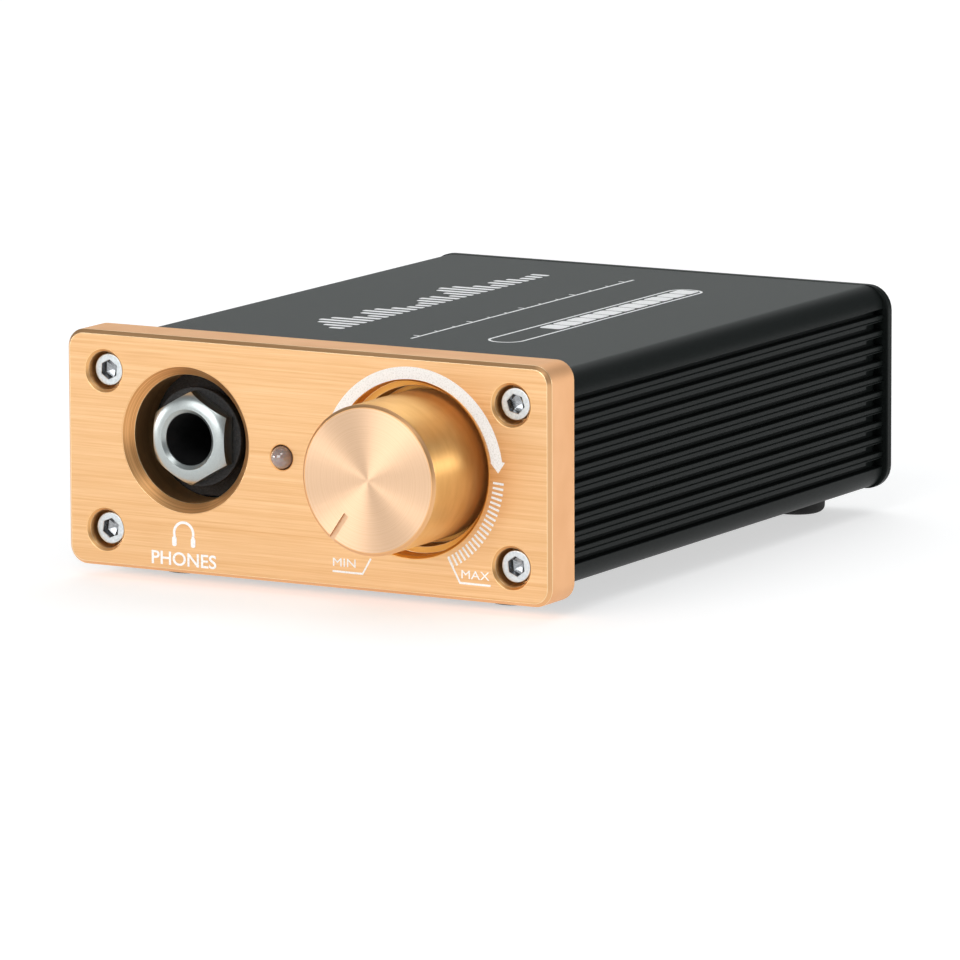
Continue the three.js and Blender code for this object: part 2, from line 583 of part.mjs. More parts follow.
function capacitors() {
  const { height, crimpZ, crimp, rim } = CAPACITOR;
  const z0 = BOARD.topZ + BOARD_GAP;
  const z1 = z0 + height;
  CAPACITORS.forEach(({ x, y, radius }, i) => {
    const profile = [[0, z0], [radius, z0], [radius, z0 + crimpZ - 0.4], [radius - crimp, z0 + crimpZ]];
    profile.push([radius, z0 + crimpZ + 0.4], [radius, z1 - rim], [radius - rim, z1], [0, z1]);
    place(`capacitor_${i + 1}`, turnedZ(profile, x, y), 'can');
  });
  for (const spot of FILM_CAPACITORS) {
    const block = chipBox(spot, FILM.halfWidth, FILM.halfDepth, BOARD.topZ, FILM.height);
    place(`film_capacitor_${spot.name}`, block, 'film');
  }
}

function semiconductors() {
  const base = BOARD.topZ + BOARD_GAP;
  const socket = chipBox(CHIP, CHIP_SOCKET.half, CHIP_SOCKET.half, BOARD.topZ, CHIP_SOCKET.height);
  const chipZ = BOARD.topZ + CHIP_SOCKET.height + 0.1;
  place('amplifier_chip_socket', socket, 'blackPlastic');
  place('amplifier_chip', chipBox(CHIP, CHIP.halfWidth, CHIP.halfDepth, chipZ, CHIP.height), 'blackPlastic');
  for (const spot of TRANSISTORS) {
    const { halfWidth, halfDepth, height, hole, holeZ } = TRANSISTOR;
    const slab = chipBox(spot, halfWidth, halfDepth, base, height);
    const drilled = rodY(hole, spot.y - 2, spot.y + 2, spot.x, BOARD.topZ + holeZ, 12);
    place(`output_transistor_${spot.name}`, slab.subtract(drilled), 'blackPlastic');
  }
  const { halfWidth, halfDepth, height } = REGULATOR;
  place('voltage_regulator', chipBox(REGULATOR, halfWidth, halfDepth, base, height), 'blackPlastic');
  place('regulator_heat_sink', heatSink(REGULATOR.x, REGULATOR.y + halfDepth + 0.1), 'heatSink');
}

// An upright plate with a row of fins along its back.
function heatSink(x, y) {
  const { halfWidth, plate, fins, finThick, deep, height } = HEAT_SINK;
  const shape = new THREE.Shape();
  shape.moveTo(x - halfWidth, y);
  shape.lineTo(x + halfWidth, y);
  const step = (2 * halfWidth - finThick) / (fins - 1);
  for (let i = fins - 1; i >= 0; i -= 1) {
    const left = x - halfWidth + i * step;
    const right = left + finThick;
    shape.lineTo(right, y + plate);
    shape.lineTo(right, y + deep);
    shape.lineTo(left, y + deep);
    shape.lineTo(left, y + plate);
  }
  shape.closePath();
  return prismZ(shape, BOARD.topZ + BOARD_GAP, BOARD.topZ + height);
}

// ---------------------------------------------------------------- assembly

place('case_tube', caseTube(), 'blackAnodised');
place('front_panel', frontPanel(), 'gold');
place('rear_panel', rearPanel(), 'blackAnodised');
screws();
feet();
headphoneSocket();
volumeControl();
volumeKnob();
indicatorLamp();
phonoSockets();
powerSocket();
powerSwitch();
circuitBoard();
capacitors();
semiconductors();

export default amplifier;
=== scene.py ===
import json
import math
from contextlib import contextmanager

import bmesh
import bpy
from mathutils import Matrix, Vector
from mathutils.geometry import tessellate_polygon


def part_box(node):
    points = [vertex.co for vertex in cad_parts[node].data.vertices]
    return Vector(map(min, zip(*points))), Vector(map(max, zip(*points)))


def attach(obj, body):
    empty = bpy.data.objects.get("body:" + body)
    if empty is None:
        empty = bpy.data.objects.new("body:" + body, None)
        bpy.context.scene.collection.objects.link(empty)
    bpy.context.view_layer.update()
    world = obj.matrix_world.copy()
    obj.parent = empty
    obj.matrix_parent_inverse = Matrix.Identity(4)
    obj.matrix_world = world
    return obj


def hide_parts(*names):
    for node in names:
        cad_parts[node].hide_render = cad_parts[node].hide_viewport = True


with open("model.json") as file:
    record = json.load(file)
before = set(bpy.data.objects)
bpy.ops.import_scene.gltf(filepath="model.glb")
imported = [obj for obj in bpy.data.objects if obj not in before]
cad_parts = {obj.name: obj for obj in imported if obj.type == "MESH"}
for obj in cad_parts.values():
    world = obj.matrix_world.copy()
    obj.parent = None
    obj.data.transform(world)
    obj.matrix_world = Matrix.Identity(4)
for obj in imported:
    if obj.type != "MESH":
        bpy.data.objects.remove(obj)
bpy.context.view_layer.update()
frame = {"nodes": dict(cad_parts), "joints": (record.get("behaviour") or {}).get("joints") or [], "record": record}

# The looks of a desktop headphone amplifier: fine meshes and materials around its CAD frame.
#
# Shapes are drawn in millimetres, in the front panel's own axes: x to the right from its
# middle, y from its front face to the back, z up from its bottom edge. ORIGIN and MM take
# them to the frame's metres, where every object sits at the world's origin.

MM = 0.001
PANEL_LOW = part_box("front_panel")[0]
ORIGIN = Vector((0, PANEL_LOW.y, PANEL_LOW.z))
SLOTS = {part["node"]: part["material_slot"] for part in frame["record"]["subparts"]}


def span(node):
    """A node's lowest corner, highest corner and middle, in drawing millimetres."""
    low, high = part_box(node)
    low, high = (low - ORIGIN) / MM, (high - ORIGIN) / MM
    return low, high, (low + high) / 2


def middle(node):
    return span(node)[2]


def round_turn(count):
    """Angles of a full turn, in radians; rings take them from +z towards +x."""
    return [2 * math.pi * i / count for i in range(count)]


def around(radii, turns, x=0, z=0):
    """(x, z) points at their own distance from a middle, one for each angle."""
    return [(x + r * math.sin(t), z + r * math.cos(t)) for r, t in zip(radii, turns)]


# ---- sizes, in millimetres
#
# FACET is longer than a step around a rounded edge. SHARP is in degrees, and WELD in metres.

EDGE = 0.11
FACET = 0.05
SHARP = 32
WELD = 1e-7

PANEL_CORNER = 2.5
PANEL_CHAMFER = 0.48
SCREW_SEAT = 2.52
SCREW_CHAMFER = 0.35
SCREW_FLOOR = 3.7
SCREW_CLEAR = 1.4
JACK_HOLE = 8.4
JACK_CHAMFER = 1.2
RECESS_WIDE = 11.28
RECESS_STEP = 2.4
RECESS_NARROW = 10.35
RECESS_FLOOR = 5.3
RECESS_CHAMFER = 0.35
SHAFT_HOLE = 3.65
LAMP_HOLE = 1.6
LAMP_SEAT = 2.2
LAMP_SEAT_Y = 2.9

TUBE_CORNER = 3.0
REAR_CORNER = 3.4
GROOVES = 11
GROOVE_PITCH = 2.083
GROOVE_OPEN = 0.82
GROOVE_DEEP = 1.3
NOTCH = 0.11
NOTCH_DEEP = 0.13
RIB_RELIEF = 0.42
RIB_RELIEF_LENGTH = 5.0
WALL_SIDE = 2.9
WALL_TOP = 1.6
RAIL = 1.3
RAIL_THICK = 0.6
BOARD_THICK = 1.6
BOSS = 2.6
TAPPED = 1.3

HEAD = 2.15
HEAD_HIGH = 2.5
HEX_KEY = 2.25
HEX_DEEP = 1.3
SHANK = 1.25
SHANK_LONG = 8

PLUG = 3.44
BUSH_THREAD = 4.4
NUT_FLATS = 10.7
NUT_ROUND = 5.25
KNOB = 9.735
KNOB_CHAMFER = 0.4
KNOB_WALL = 7.0
KNOB_HOLLOW = 1.8
KNOB_BORE = 3.1
KNOB_BORE_END = -5.4
LAMP = 1.5
LAMP_RIM = 1.9
LAMP_RIM_Y = 3.1
POINTER_TURN = math.radians(34.5)
PHONO_INNER = 3.4
SWITCH_FLATS = 8
LEVER = 7.9
LEVER_BALL = 1.7
LEVER_LEAN = math.radians(-12.5)

# how deep a printed sheet's two faces lie, and the middle of a letter
INK_FRONT = -0.02
INK_RAISED = -0.025
INK_BACK = 0.01
INK_LETTER = -0.01


# ---- mesh helpers

def rounded(path, closed=False, steps=4):
    """A path of (u, v) corners, with an arc at each one that has a radius as a third number."""
    points = []
    count = len(path)
    for i, corner in enumerate(path):
        here = Vector(corner[:2])
        radius = corner[2] if len(corner) > 2 else 0
        if not radius or (not closed and i in (0, count - 1)):
            points.append(here)
            continue
        back = (Vector(path[i - 1][:2]) - here).normalized()
        ahead = (Vector(path[(i + 1) % count][:2]) - here).normalized()
        half = back.angle(ahead) / 2
        centre = here + (back + ahead).normalized() * radius / math.sin(half)
        start = here + back * radius / math.tan(half) - centre
        end = here + ahead * radius / math.tan(half) - centre
        sweep = math.pi - 2 * half
        for step in range(steps + 1):
            turn = sweep * step / steps
            spoke = start * math.sin(sweep - turn) + end * math.sin(turn)
            points.append(centre + spoke / math.sin(sweep))
    return points


def arc(x, z, radius, start, end, steps):
    """Points along a circle's arc in the x-z plane; degrees from +x towards +z."""
    turns = [math.radians(start + (end - start) * step / steps) for step in range(steps + 1)]
    return [Vector((x + radius * math.cos(turn), z + radius * math.sin(turn))) for turn in turns]


def rounded_box(low, high, corner, inset=0.0, steps=8):
    """A rounded rectangle between two corners in the x-z plane."""
    radius = max(corner - inset, 0.01)
    left, right = low.x + inset + radius, high.x - inset - radius
    bottom, top = low.z + inset + radius, high.z - inset - radius
    points = []
    for i, (x, z) in enumerate(((right, bottom), (right, top), (left, top), (left, bottom))):
        points += arc(x, z, radius, 90 * i - 90, 90 * i, steps)
    return points


def hexagon_reach(flats, turn):
    """How far a hexagon's edge is from its middle, with two corners straight up and down."""
    sector = (turn + math.pi / 6) % (math.pi / 3) - math.pi / 6
    return flats / 2 / math.cos(math.pi / 6 - abs(sector))


class Shape:
    """A mesh in the making, in drawing millimetres. New faces take the current finish."""

    def __init__(self):
        self.points = []
        self.faces = []
        self.finishes = []
        self.finish = 0

    def ring(self, points):
        first = len(self.points)
        self.points.extend(points)
        return list(range(first, len(self.points)))

    def level(self, points, y):
        """A ring of (x, z) points at a depth y."""
        return self.ring([Vector((x, y, z)) for x, z in points])

    def face(self, corners):
        self.faces.append(corners)
        self.finishes.append(self.finish)

    def join(self, first, second):
        """The band between two rings, one of which may be a single point."""
        for i in range(max(len(first), len(second))):
            j = i + 1
            spots = ((first, i), (first, j), (second, j), (second, i))
            self.face(list(dict.fromkeys(ring[k % len(ring)] for ring, k in spots)))

    def fill(self, outer, *holes):
        """A flat face inside a ring, around the rings that are holes in it."""
        rings = [outer, *holes]
        numbers = [number for ring in rings for number in ring]
        for triangle in tessellate_polygon([[self.points[n] for n in ring] for ring in rings]):
            self.face([numbers[corner] for corner in triangle])

    def loft(self, rings, closed=False, bands=()):
        """The bands between successive rings; bands may give each one its finish."""
        for i, (first, second) in enumerate(zip(rings, rings[1:])):
            self.finish = bands[i] if bands else self.finish
            self.join(first, second)
        if closed:
            self.join(rings[-1], rings[0])

    def turn(self, path, x, z, count=96, closed=False, bands=()):
        """Turns a path of (radius, y) about the line along y through (x, z); returns its rings."""
        rings = []
        for radius, y in path:
            if radius < 1e-6:
                rings.append(self.ring([Vector((x, y, z))]))
                continue
            rings.append(self.level(around([radius] * count, round_turn(count), x, z), y))
        self.loft(rings, closed, bands)
        return rings

    def bar(self, low, high, corner, path, bands=()):
        """The sides of a bar along y with rounded corners. path holds (inset, depth) places."""
        rings = [self.level(rounded_box(low, high, corner, inset), y) for inset, y in path]
        self.loft(rings, bands=bands)
        return rings

    def sheet(self, outline, *holes, front=INK_FRONT):
        """A thin sheet of printing, with an (x, z) outline, in the plane of the front panel."""
        sides = []
        for points in (outline, *holes):
            rings = [self.level(points, front), self.level(points, INK_BACK)]
            self.loft(rings)
            sides.append(rings)
        self.fill(*[rings[0] for rings in sides])
        self.fill(*[rings[1] for rings in sides])

    def moved(self, matrix):
        self.points = [matrix @ point for point in self.points]
        return self

    def mesh(self, name, finishes):
        """Makes the Blender mesh, in the frame's metres, with its faces turned outwards."""
        mesh = bpy.data.meshes.new(name)
        mesh.from_pydata([ORIGIN + MM * point for point in self.points], [], self.faces)
        for finish in finishes:
            mesh.materials.append(finish)
        mesh.polygons.foreach_set("material_index", self.finishes)
        with editing(mesh) as tool:
            bmesh.ops.recalc_face_normals(tool, faces=tool.faces)
        return mesh

    def piece(self, name, node, finishes, body="chassis", sharp=SHARP):
        """Makes the Blender object, riding on its body, in place of a CAD node if one is given."""
        return install(name, self.mesh(name, finishes), node, body, sharp)


@contextmanager
def editing(mesh):
    """A mesh opened for bmesh's tools, and written back afterwards."""
    tool = bmesh.new()
    tool.from_mesh(mesh)
    yield tool
    tool.to_mesh(mesh)
    tool.free()


def linked(name, data):
    """A new object in the scene that holds a mesh, curve, lamp or camera."""
    made = bpy.data.objects.new(name, data)
    bpy.context.scene.collection.objects.link(made)
    return made


def smooth(mesh, sharp=SHARP):
    """Smooth shading that breaks at edges sharper than an angle in degrees."""
    mesh.polygons.foreach_set("use_smooth", [True] * len(mesh.polygons))
    mesh.set_sharp_from_angle(angle=math.radians(sharp))


def install(name, mesh, node=None, body="chassis", sharp=SHARP):
    """An object for a mesh. Those that stand in for no CAD node are printing."""
    smooth(mesh, sharp)
    piece = linked(name, mesh)
    normals = piece.modifiers.new("even_normals", "WEIGHTED_NORMAL")
    normals.keep_sharp = True
    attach(piece, body)
    SLOTS.get(node, "print_white")
    if node:
        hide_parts(node)
    return piece


def cut(piece, shape, finish):
    """Cuts a shape out of a piece, and gives the walls of the cut their finish."""
    cutter = linked("cutter", shape.mesh("cutter", [finish]))
    boolean = piece.modifiers.new("cut", "BOOLEAN")
    boolean.operation = "DIFFERENCE"
    boolean.solver = "EXACT"
    boolean.material_mode = "TRANSFER"
    boolean.object = cutter
    piece.modifiers.move(len(piece.modifiers) - 1, 0)
    bpy.context.view_layer.update()
    even_normals = piece.modifiers["even_normals"]
    even_normals.show_viewport = False
    evaluated = piece.evaluated_get(bpy.context.evaluated_depsgraph_get())
    result = bpy.data.meshes.new_from_object(evaluated)
    piece.modifiers.remove(boolean)
    even_normals.show_viewport = True
    result.name = piece.name
    piece.data = result
    smooth(result)
    bpy.data.objects.remove(cutter)


# ---- materials

class Paint:
    """A procedural material on one Principled shader."""

    def __init__(self, name, **values):
        self.material = bpy.data.materials.new(name)
        self.material.use_nodes = True
        self.tree = self.material.node_tree
        self.shader = self.tree.nodes["Principled BSDF"]
        for socket, value in values.items():
            self.shader.inputs[socket.replace("_", " ")].default_value = value

    def node(self, kind, inputs, **settings):
        node = self.tree.nodes.new(kind)
        for key, value in settings.items():
            setattr(node, key, value)
        for socket, value in inputs.items():
            node.inputs[socket].default_value = value
        return node

    def link(self, output, socket):
        self.tree.links.new(output, socket)

    def place(self, scale, centre=(0, 0, 0)):
        """The object's own coordinates, scaled along x, y and z; per-millimetre scales."""
        coordinates = self.node("ShaderNodeTexCoord", {}).outputs["Object"]
        per_metre = [value / MM for value in scale]
        shift = [-c * s for c, s in zip(centre, per_metre)]
        mapping = self.node("ShaderNodeMapping", {"Scale": per_metre, "Location": shift})
        self.link(coordinates, mapping.inputs["Vector"])
        return mapping.outputs["Vector"]

    def noise(self, scale, detail, rough=0.55):
        """Noise with so many cycles per millimetre along x, y and z."""
        inputs = {"Scale": 1, "Detail": detail, "Roughness": rough}
        noise = self.node("ShaderNodeTexNoise", inputs)
        self.link(self.place(scale), noise.inputs["Vector"])
        return noise.outputs["Fac"]

    def rings(self, axis_place, per_mm, detail=3.0):
        """Noise that changes only with the distance from the line along y through a point."""
        flat = self.node("ShaderNodeVectorMath", {1: (1, 0, 1)}, operation="MULTIPLY")
        self.link(self.place((1, 1, 1), axis_place), flat.inputs[0])
        far = self.node("ShaderNodeVectorMath", {}, operation="LENGTH")
        self.link(flat.outputs["Vector"], far.inputs[0])
        inputs = {"Scale": per_mm, "Detail": detail}
        noise = self.node("ShaderNodeTexNoise", inputs, noise_dimensions="1D")
        self.link(far.outputs["Value"], noise.inputs["W"])
        return noise.outputs["Fac"]

    def spread(self, factor, low, high, start=0.3, end=0.7):
        limits = {"From Min": start, "From Max": end, "To Min": low, "To Max": high}
        ranged = self.node("ShaderNodeMapRange", limits)
        self.link(factor, ranged.inputs["Value"])
        return ranged.outputs["Result"]

    def mix(self, factor, dark, light):
        mixed = self.node("ShaderNodeMix", {}, data_type="RGBA")
        for socket, value in ((mixed.inputs[6], dark), (mixed.inputs[7], light)):
            if isinstance(value, tuple):
                socket.default_value = (*value, 1)
            else:
                self.link(value, socket)
        self.link(factor, mixed.inputs[0])
        return mixed.outputs[2]

    def color(self, factor, dark, light, start=0.3, end=0.7):
        share = self.spread(factor, 0, 1, start, end)
        self.link(self.mix(share, dark, light), self.shader.inputs["Base Color"])

    def roughness(self, factor, low, high):
        self.link(self.spread(factor, low, high), self.shader.inputs["Roughness"])

    def bump(self, *layers):
        """Each layer is (factor, depth in millimetres)."""
        previous = None
        for factor, depth in layers:
            bump = self.node("ShaderNodeBump", {"Strength": 1, "Distance": depth * MM})
            self.link(factor, bump.inputs["Height"])
            if previous:
                self.link(previous, bump.inputs["Normal"])
            previous = bump.outputs["Normal"]
        self.link(previous, self.shader.inputs["Normal"])
        return self

    def round_grain(self):
        """Lays the shader's grain in circles about the y axis through the piece's middle."""
        tangent = self.node("ShaderNodeTangent", {}, direction_type="RADIAL", axis="Y")
        self.link(tangent.outputs["Tangent"], self.shader.inputs["Tangent"])
        self.shader.inputs["Anisotropic Rotation"].default_value = 0.25


def tone(red, green, blue):
    """A colour given in screen values above 10 and up to 255, as linear light."""
    return tuple(((value / 255 + 0.055) / 1.055) ** 2.4 for value in (red, green, blue))


def gold_brushed():
    paint = Paint("gold_brushed", Metallic=1.0)
    long_lines = paint.noise((0.015, 0.5, 3.2), 3)
    fine_lines = paint.noise((0.1, 1.5, 6.5), 3)
    hair = paint.noise((0.5, 4, 22), 2)
    both = paint.mix(paint.spread(hair, 0.35, 0.65), long_lines, fine_lines)
    paint.color(both, tone(217, 164, 109), tone(239, 198, 151), 0.28, 0.72)
    paint.roughness(fine_lines, 0.34, 0.46)
    return paint.bump((fine_lines, 0.012), (hair, 0.004)).material


def gold_spun(centre):
    """The knob's face, turned in fine circles that spread its highlights into rays."""
    paint = Paint("gold_spun", Metallic=1.0, Anisotropic=0.85)
    rings = paint.rings(centre, 8)
    fine = paint.rings(centre, 26)
    paint.color(rings, tone(229, 190, 153), tone(237, 200, 166))
    paint.roughness(fine, 0.3, 0.38)
    paint.round_grain()
    return paint.bump((fine, 0.0015)).material


def gold_side():
    """The knob's side, turned in fine lines around it."""
    paint = Paint("gold_side", Metallic=1.0, Anisotropic=0.75)
    lines = paint.noise((0.02, 7, 0.02), 4)
    cloud = paint.noise((0.2, 0.6, 0.2), 2)
    paint.color(cloud, tone(231, 183, 114), tone(241, 196, 128))
    paint.roughness(lines, 0.4, 0.48)
    paint.round_grain()
    return paint.bump((lines, 0.004)).material


def plastic(name, dark, light, smooth, rough, grain=(2, 2, 2), depth=0.004,
            detail=4, fine=0.55, reach=(0.3, 0.7), cloud=None, **values):
    """Roughness and bump follow one noise, and so does the colour where there is no cloud."""
    paint = Paint(name, **values)
    noise = paint.noise(grain, detail, fine)
    shade = paint.noise(*cloud) if cloud else noise
    paint.color(shade, tone(*dark), tone(*light), *reach)
    paint.roughness(noise, smooth, rough)
    return paint.bump((noise, depth)).material


def metal(name, dark, light, smooth, rough, grain=(3, 3, 3), depth=0.003, **settings):
    return plastic(name, dark, light, smooth, rough, grain, depth, Metallic=1.0, **settings)


def print_ink(name, dark, light):
    return plastic(name, dark, light, 0.5, 0.7, (5, 5, 5), 0.01, fine=0.7, reach=(0.3, 0.52))


def board_laminate():
    paint = Paint("board_laminate", Coat_Weight=0.3)
    sizes = {"Scale": 1, "Brick Width": 5, "Row Height": 1.6, "Mortar Size": 0.18}
    tracks = paint.node("ShaderNodeTexBrick", sizes)
    paint.link(paint.place((1, 1, 1)), tracks.inputs["Vector"])
    cloud = paint.noise((0.4, 0.4, 0.4), 3)
    paint.color(tracks.outputs["Fac"], tone(14, 74, 40), tone(24, 100, 56), 0, 1)
    paint.roughness(cloud, 0.3, 0.45)
    return paint.bump((tracks.outputs["Fac"], 0.02)).material


KNOB_PLACE = middle("volume_knob")
KNOB_CENTRE = ORIGIN + MM * KNOB_PLACE

GOLD_FACE = gold_brushed()
GOLD_SIDE = metal("gold_blasted", (232, 180, 132), (239, 190, 143), 0.52, 0.66, (9, 9, 9), 0.01,
                  detail=3, cloud=((0.12, 0.2, 0.12), 2))
GOLD_BORE = metal("gold_turned", (204, 146, 90), (240, 184, 124), 0.32, 0.44, (0.05, 9, 0.05),
                  0.01, detail=3, reach=(0.35, 0.65))
GOLD_SPUN = gold_spun(KNOB_CENTRE)
GOLD_KNOB = gold_side()
# painted reflection: a deeper orange than the face, standing in for gold reflected in gold inside the knob's
# recess
GOLD_RECESS_REFLECTION = metal("gold_recess_painted_reflection", (230, 167, 84), (242, 185, 102), 0.34, 0.46, (0.1, 7, 0.1))
GOLD_SEAT = metal("gold_seat", (232, 176, 114), (244, 196, 136), 0.36, 0.5, (0.1, 7, 0.1), 0.006)
# painted shade: a darker, browner gold than the face, laid on the panel's and the knob's chamfers to darken them
GOLD_RIM_SHADE = metal("gold_rim_painted_shade", (226, 172, 120), (236, 186, 136), 0.36, 0.42, (0.05, 6, 0.05), 0.001)
# painted highlight: a paler, brighter gold for the thin light lines along the panel's rounded edges
GOLD_EDGE_HIGHLIGHT = metal("gold_edge_painted_highlight", (246, 214, 166), (252, 224, 180), 0.3, 0.36, (2, 2, 2))
BLACK_CASE = plastic("black_satin", (12, 15, 14), (28, 32, 31), 0.37, 0.41, (7, 5, 7), 0.014,
                     5, 0.7, (0.35, 0.65), Specular_IOR_Level=0.06)
BLACK_PLASTIC = plastic("black_moulded", (16, 16, 17), (52, 52, 53), 0.42, 0.62, (5, 5, 5), 0.09,
                        5, 0.7, (0.44, 0.62), Specular_IOR_Level=0.4)
# painted shade: a darker tan than the knob's face, for the shade inside the pointer slot and the drilled hole
GOLD_SLOT_SHADE = metal("gold_milled_painted_shade", (212, 170, 134), (230, 192, 156), 0.4, 0.5, (0.5, 6, 0.5))
SCREW_METAL = metal("screw_zinc", (198, 204, 207), (224, 228, 230), 0.3, 0.42, (4, 4, 4), 0.006)
# painted shade: a darker steel than the head, for the shade inside the hex socket
SCREW_SOCKET_SHADE = metal("screw_socket_painted_shade", (138, 141, 144), (178, 181, 184), 0.18, 0.26, depth=0.004)
CHROME = metal("chrome_plate", (170, 176, 175), (182, 188, 187), 0.28, 0.36, (6, 6, 6), 0.0015)
TINNED = metal("tinned_metal", (168, 168, 164), (196, 196, 192), 0.3, 0.5)
BRASS = metal("brass_turned", (196, 156, 76), (224, 186, 104), 0.22, 0.36, (0.1, 8, 0.1))
WHITE_PLASTIC = plastic("white_moulded", (214, 212, 206), (232, 230, 225), 0.35, 0.5)
RED_PLASTIC = plastic("red_moulded", (150, 18, 16), (182, 30, 26), 0.35, 0.5)
RUBBER = plastic("foot_rubber", (20, 20, 20), (32, 32, 31), 0.6, 0.85, (5, 5, 5), 0.03, 5, 0.7,
                 cloud=((0.5, 0.5, 0.5), 3), Specular_IOR_Level=0.3)
LENS = plastic("lamp_milky", (134, 115, 108), (156, 136, 128), 0.08, 0.14, (0.9, 0.9, 0.9), 0.003,
               3, Subsurface_Weight=0.35, Subsurface_Scale=0.0008, Specular_IOR_Level=0.8,
               Coat_Weight=1.0, Coat_Roughness=0.04)
INK = print_ink("print_white", (218, 215, 210), (250, 248, 246))
TOP_INK = print_ink("print_top_white", (240, 240, 240), (254, 254, 254))
BOARD = board_laminate()
SLEEVE = plastic("capacitor_sleeve", (26, 34, 58), (38, 48, 76), 0.28, 0.42)
FILM = plastic("film_capacitor", (140, 38, 30), (172, 52, 42), 0.3, 0.42)

BY_SLOT = {
    "gold_anodised": GOLD_SIDE, "black_anodised": BLACK_CASE, "screw_steel": SCREW_METAL,
    "chrome_plate": CHROME, "tinned_metal": TINNED, "brass_metal": BRASS,
    "black_plastic": BLACK_PLASTIC, "white_plastic": WHITE_PLASTIC, "red_plastic": RED_PLASTIC,
    "foot_rubber": RUBBER, "lamp_lens": LENS, "board_laminate": BOARD,
    "capacitor_sleeve": SLEEVE, "film_plastic": FILM,
}


def paint_frame():
    """Every CAD node gets the material of its slot, also where a piece replaces it."""
    for node, obj in frame["nodes"].items():
        obj.data.materials.clear()
        obj.data.materials.append(BY_SLOT[SLOTS[node]])


# ---- front and rear panels

CORNERS = ["upper_left", "upper_right", "lower_left", "lower_right"]

# the places of the front panel's finishes in its list of materials
FACE, BORE, OUTSIDE, RECESS_REFLECTION, SHINE_PAINTED, SEAT, RIM_SHADE = range(7)


def edged(path, finish):
    """A finish for each step of a path. The short steps around a rounded edge get a painted highlight."""
    return [SHINE_PAINTED if (b - a).length < FACET else finish for a, b in zip(path, path[1:])]


def mouthed(radius, chamfer, edge, *inner):
    """A hole's path of (radius, y), in from the panel's face over a chamfer with softened edges."""
    wide = radius + chamfer
    return rounded([(wide + 0.1, 0), (wide, 0, EDGE / 2), (radius, chamfer, edge), *inner])


def plate(shape, low, high, corner, side, side_bands, holes):
    """A rounded plate. side is a path of (inset, depth), and each hole is (x, z, path, bands)."""
    rings = shape.bar(low, high, corner, side, side_bands)
    bores = [shape.turn(path, x, z, 160, bands=bands) for x, z, path, bands in holes]
    shape.finish = 0
    shape.fill(rings[0], *[bore[0] for bore in bores])
    shape.finish = side_bands[-1]
    shape.fill(rings[-1], *[bore[-1] for bore in bores])


def front_panel():
    low, high = span("front_panel")[:2]
    thick = high.y
    side = rounded([(PANEL_CHAMFER + 0.3, 0), (PANEL_CHAMFER, 0, EDGE), (0, PANEL_CHAMFER, EDGE),
                    (0, thick, 0.12), (0.4, thick)])
    # the front chamfer takes the darker gold, painted shade
    side_bands = [finish if (a.y + b.y) / 2 < PANEL_CHAMFER + FACET else OUTSIDE
                  for finish, a, b in zip(edged(side, RIM_SHADE), side, side[1:])]
    side_bands[0] = FACE
    holes = []
    seat = mouthed(SCREW_SEAT, SCREW_CHAMFER, EDGE, (SCREW_SEAT, SCREW_FLOOR, 0.1),
                   (SCREW_CLEAR, SCREW_FLOOR), (SCREW_CLEAR, thick))
    for corner in CORNERS:
        screw = middle(f"front_screw_{corner}")
        holes.append((screw.x, screw.z, seat, edged(seat, SEAT)))
    jack = middle("jack_nut")
    mouth = mouthed(JACK_HOLE, JACK_CHAMFER, 0.2, (JACK_HOLE, thick))
    wall = JACK_CHAMFER + 0.2
    mouth_bands = [SEAT if point.y > wall else finish
                   for point, finish in zip(mouth[1:], edged(mouth, BORE))]
    holes.append((jack.x, jack.z, mouth, mouth_bands))
    recess = mouthed(RECESS_WIDE, RECESS_CHAMFER, EDGE, (RECESS_WIDE, RECESS_STEP, 0.1),
                     (RECESS_NARROW, RECESS_STEP, EDGE), (RECESS_NARROW, RECESS_FLOOR, 0.1),
                     (SHAFT_HOLE, RECESS_FLOOR), (SHAFT_HOLE, thick))
    # the recess walls take the deeper orange gold, a painted reflection
    holes.append((KNOB_PLACE.x, KNOB_PLACE.z, recess, edged(recess, RECESS_REFLECTION)))
    lamp = middle("led_lens")
    socket = rounded([(LAMP_HOLE + 0.2, 0), (LAMP_HOLE, 0, 0.12), (LAMP_HOLE, LAMP_SEAT_Y),
                      (LAMP_SEAT, LAMP_SEAT_Y), (LAMP_SEAT, thick)])
    holes.append((lamp.x, lamp.z, socket, [BORE] * (len(socket) - 1)))
    shape = Shape()
    plate(shape, low, high, PANEL_CORNER, side, side_bands, holes)
    shape.piece("front_panel_brushed", "front_panel",
                [GOLD_FACE, GOLD_BORE, GOLD_SIDE, GOLD_RECESS_REFLECTION, GOLD_EDGE_HIGHLIGHT, GOLD_SEAT, GOLD_RIM_SHADE])


def rear_panel():
    low, high = span("rear_panel")[:2]
    edge = 0.2
    side = rounded([(0.6, low.y), (0, low.y, edge), (0, high.y, edge), (0.6, high.y)])

    def bore(node, height, radius):
        path = rounded([(radius + 0.3, low.y), (radius, low.y, 0.08), (radius, high.y, 0.12),
                        (radius + 0.3, high.y)])
        return middle(node).x, middle(height).z, path, ()

    holes = [bore(f"rear_screw_{corner}", f"rear_screw_{corner}", SCREW_CLEAR) for corner in CORNERS]
    holes += [bore(f"phono_shell_{hand}", "phono_shell_left", 4.35) for hand in ("left", "right")]
    holes += [bore("power_socket_body", "switch_bushing", 4.0),
              bore("switch_bushing", "switch_bushing", 3.1)]
    shape = Shape()
    plate(shape, low, high, REAR_CORNER, side, [0] * (len(side) - 1), holes)
    shape.piece("rear_panel_satin", "rear_panel", [BLACK_CASE])


# ---- case tube

def mirrored(path):
    """A path's mirror image on the left side, run backwards."""
    return [Vector((-point.x, point.y)) for point in reversed(path)]


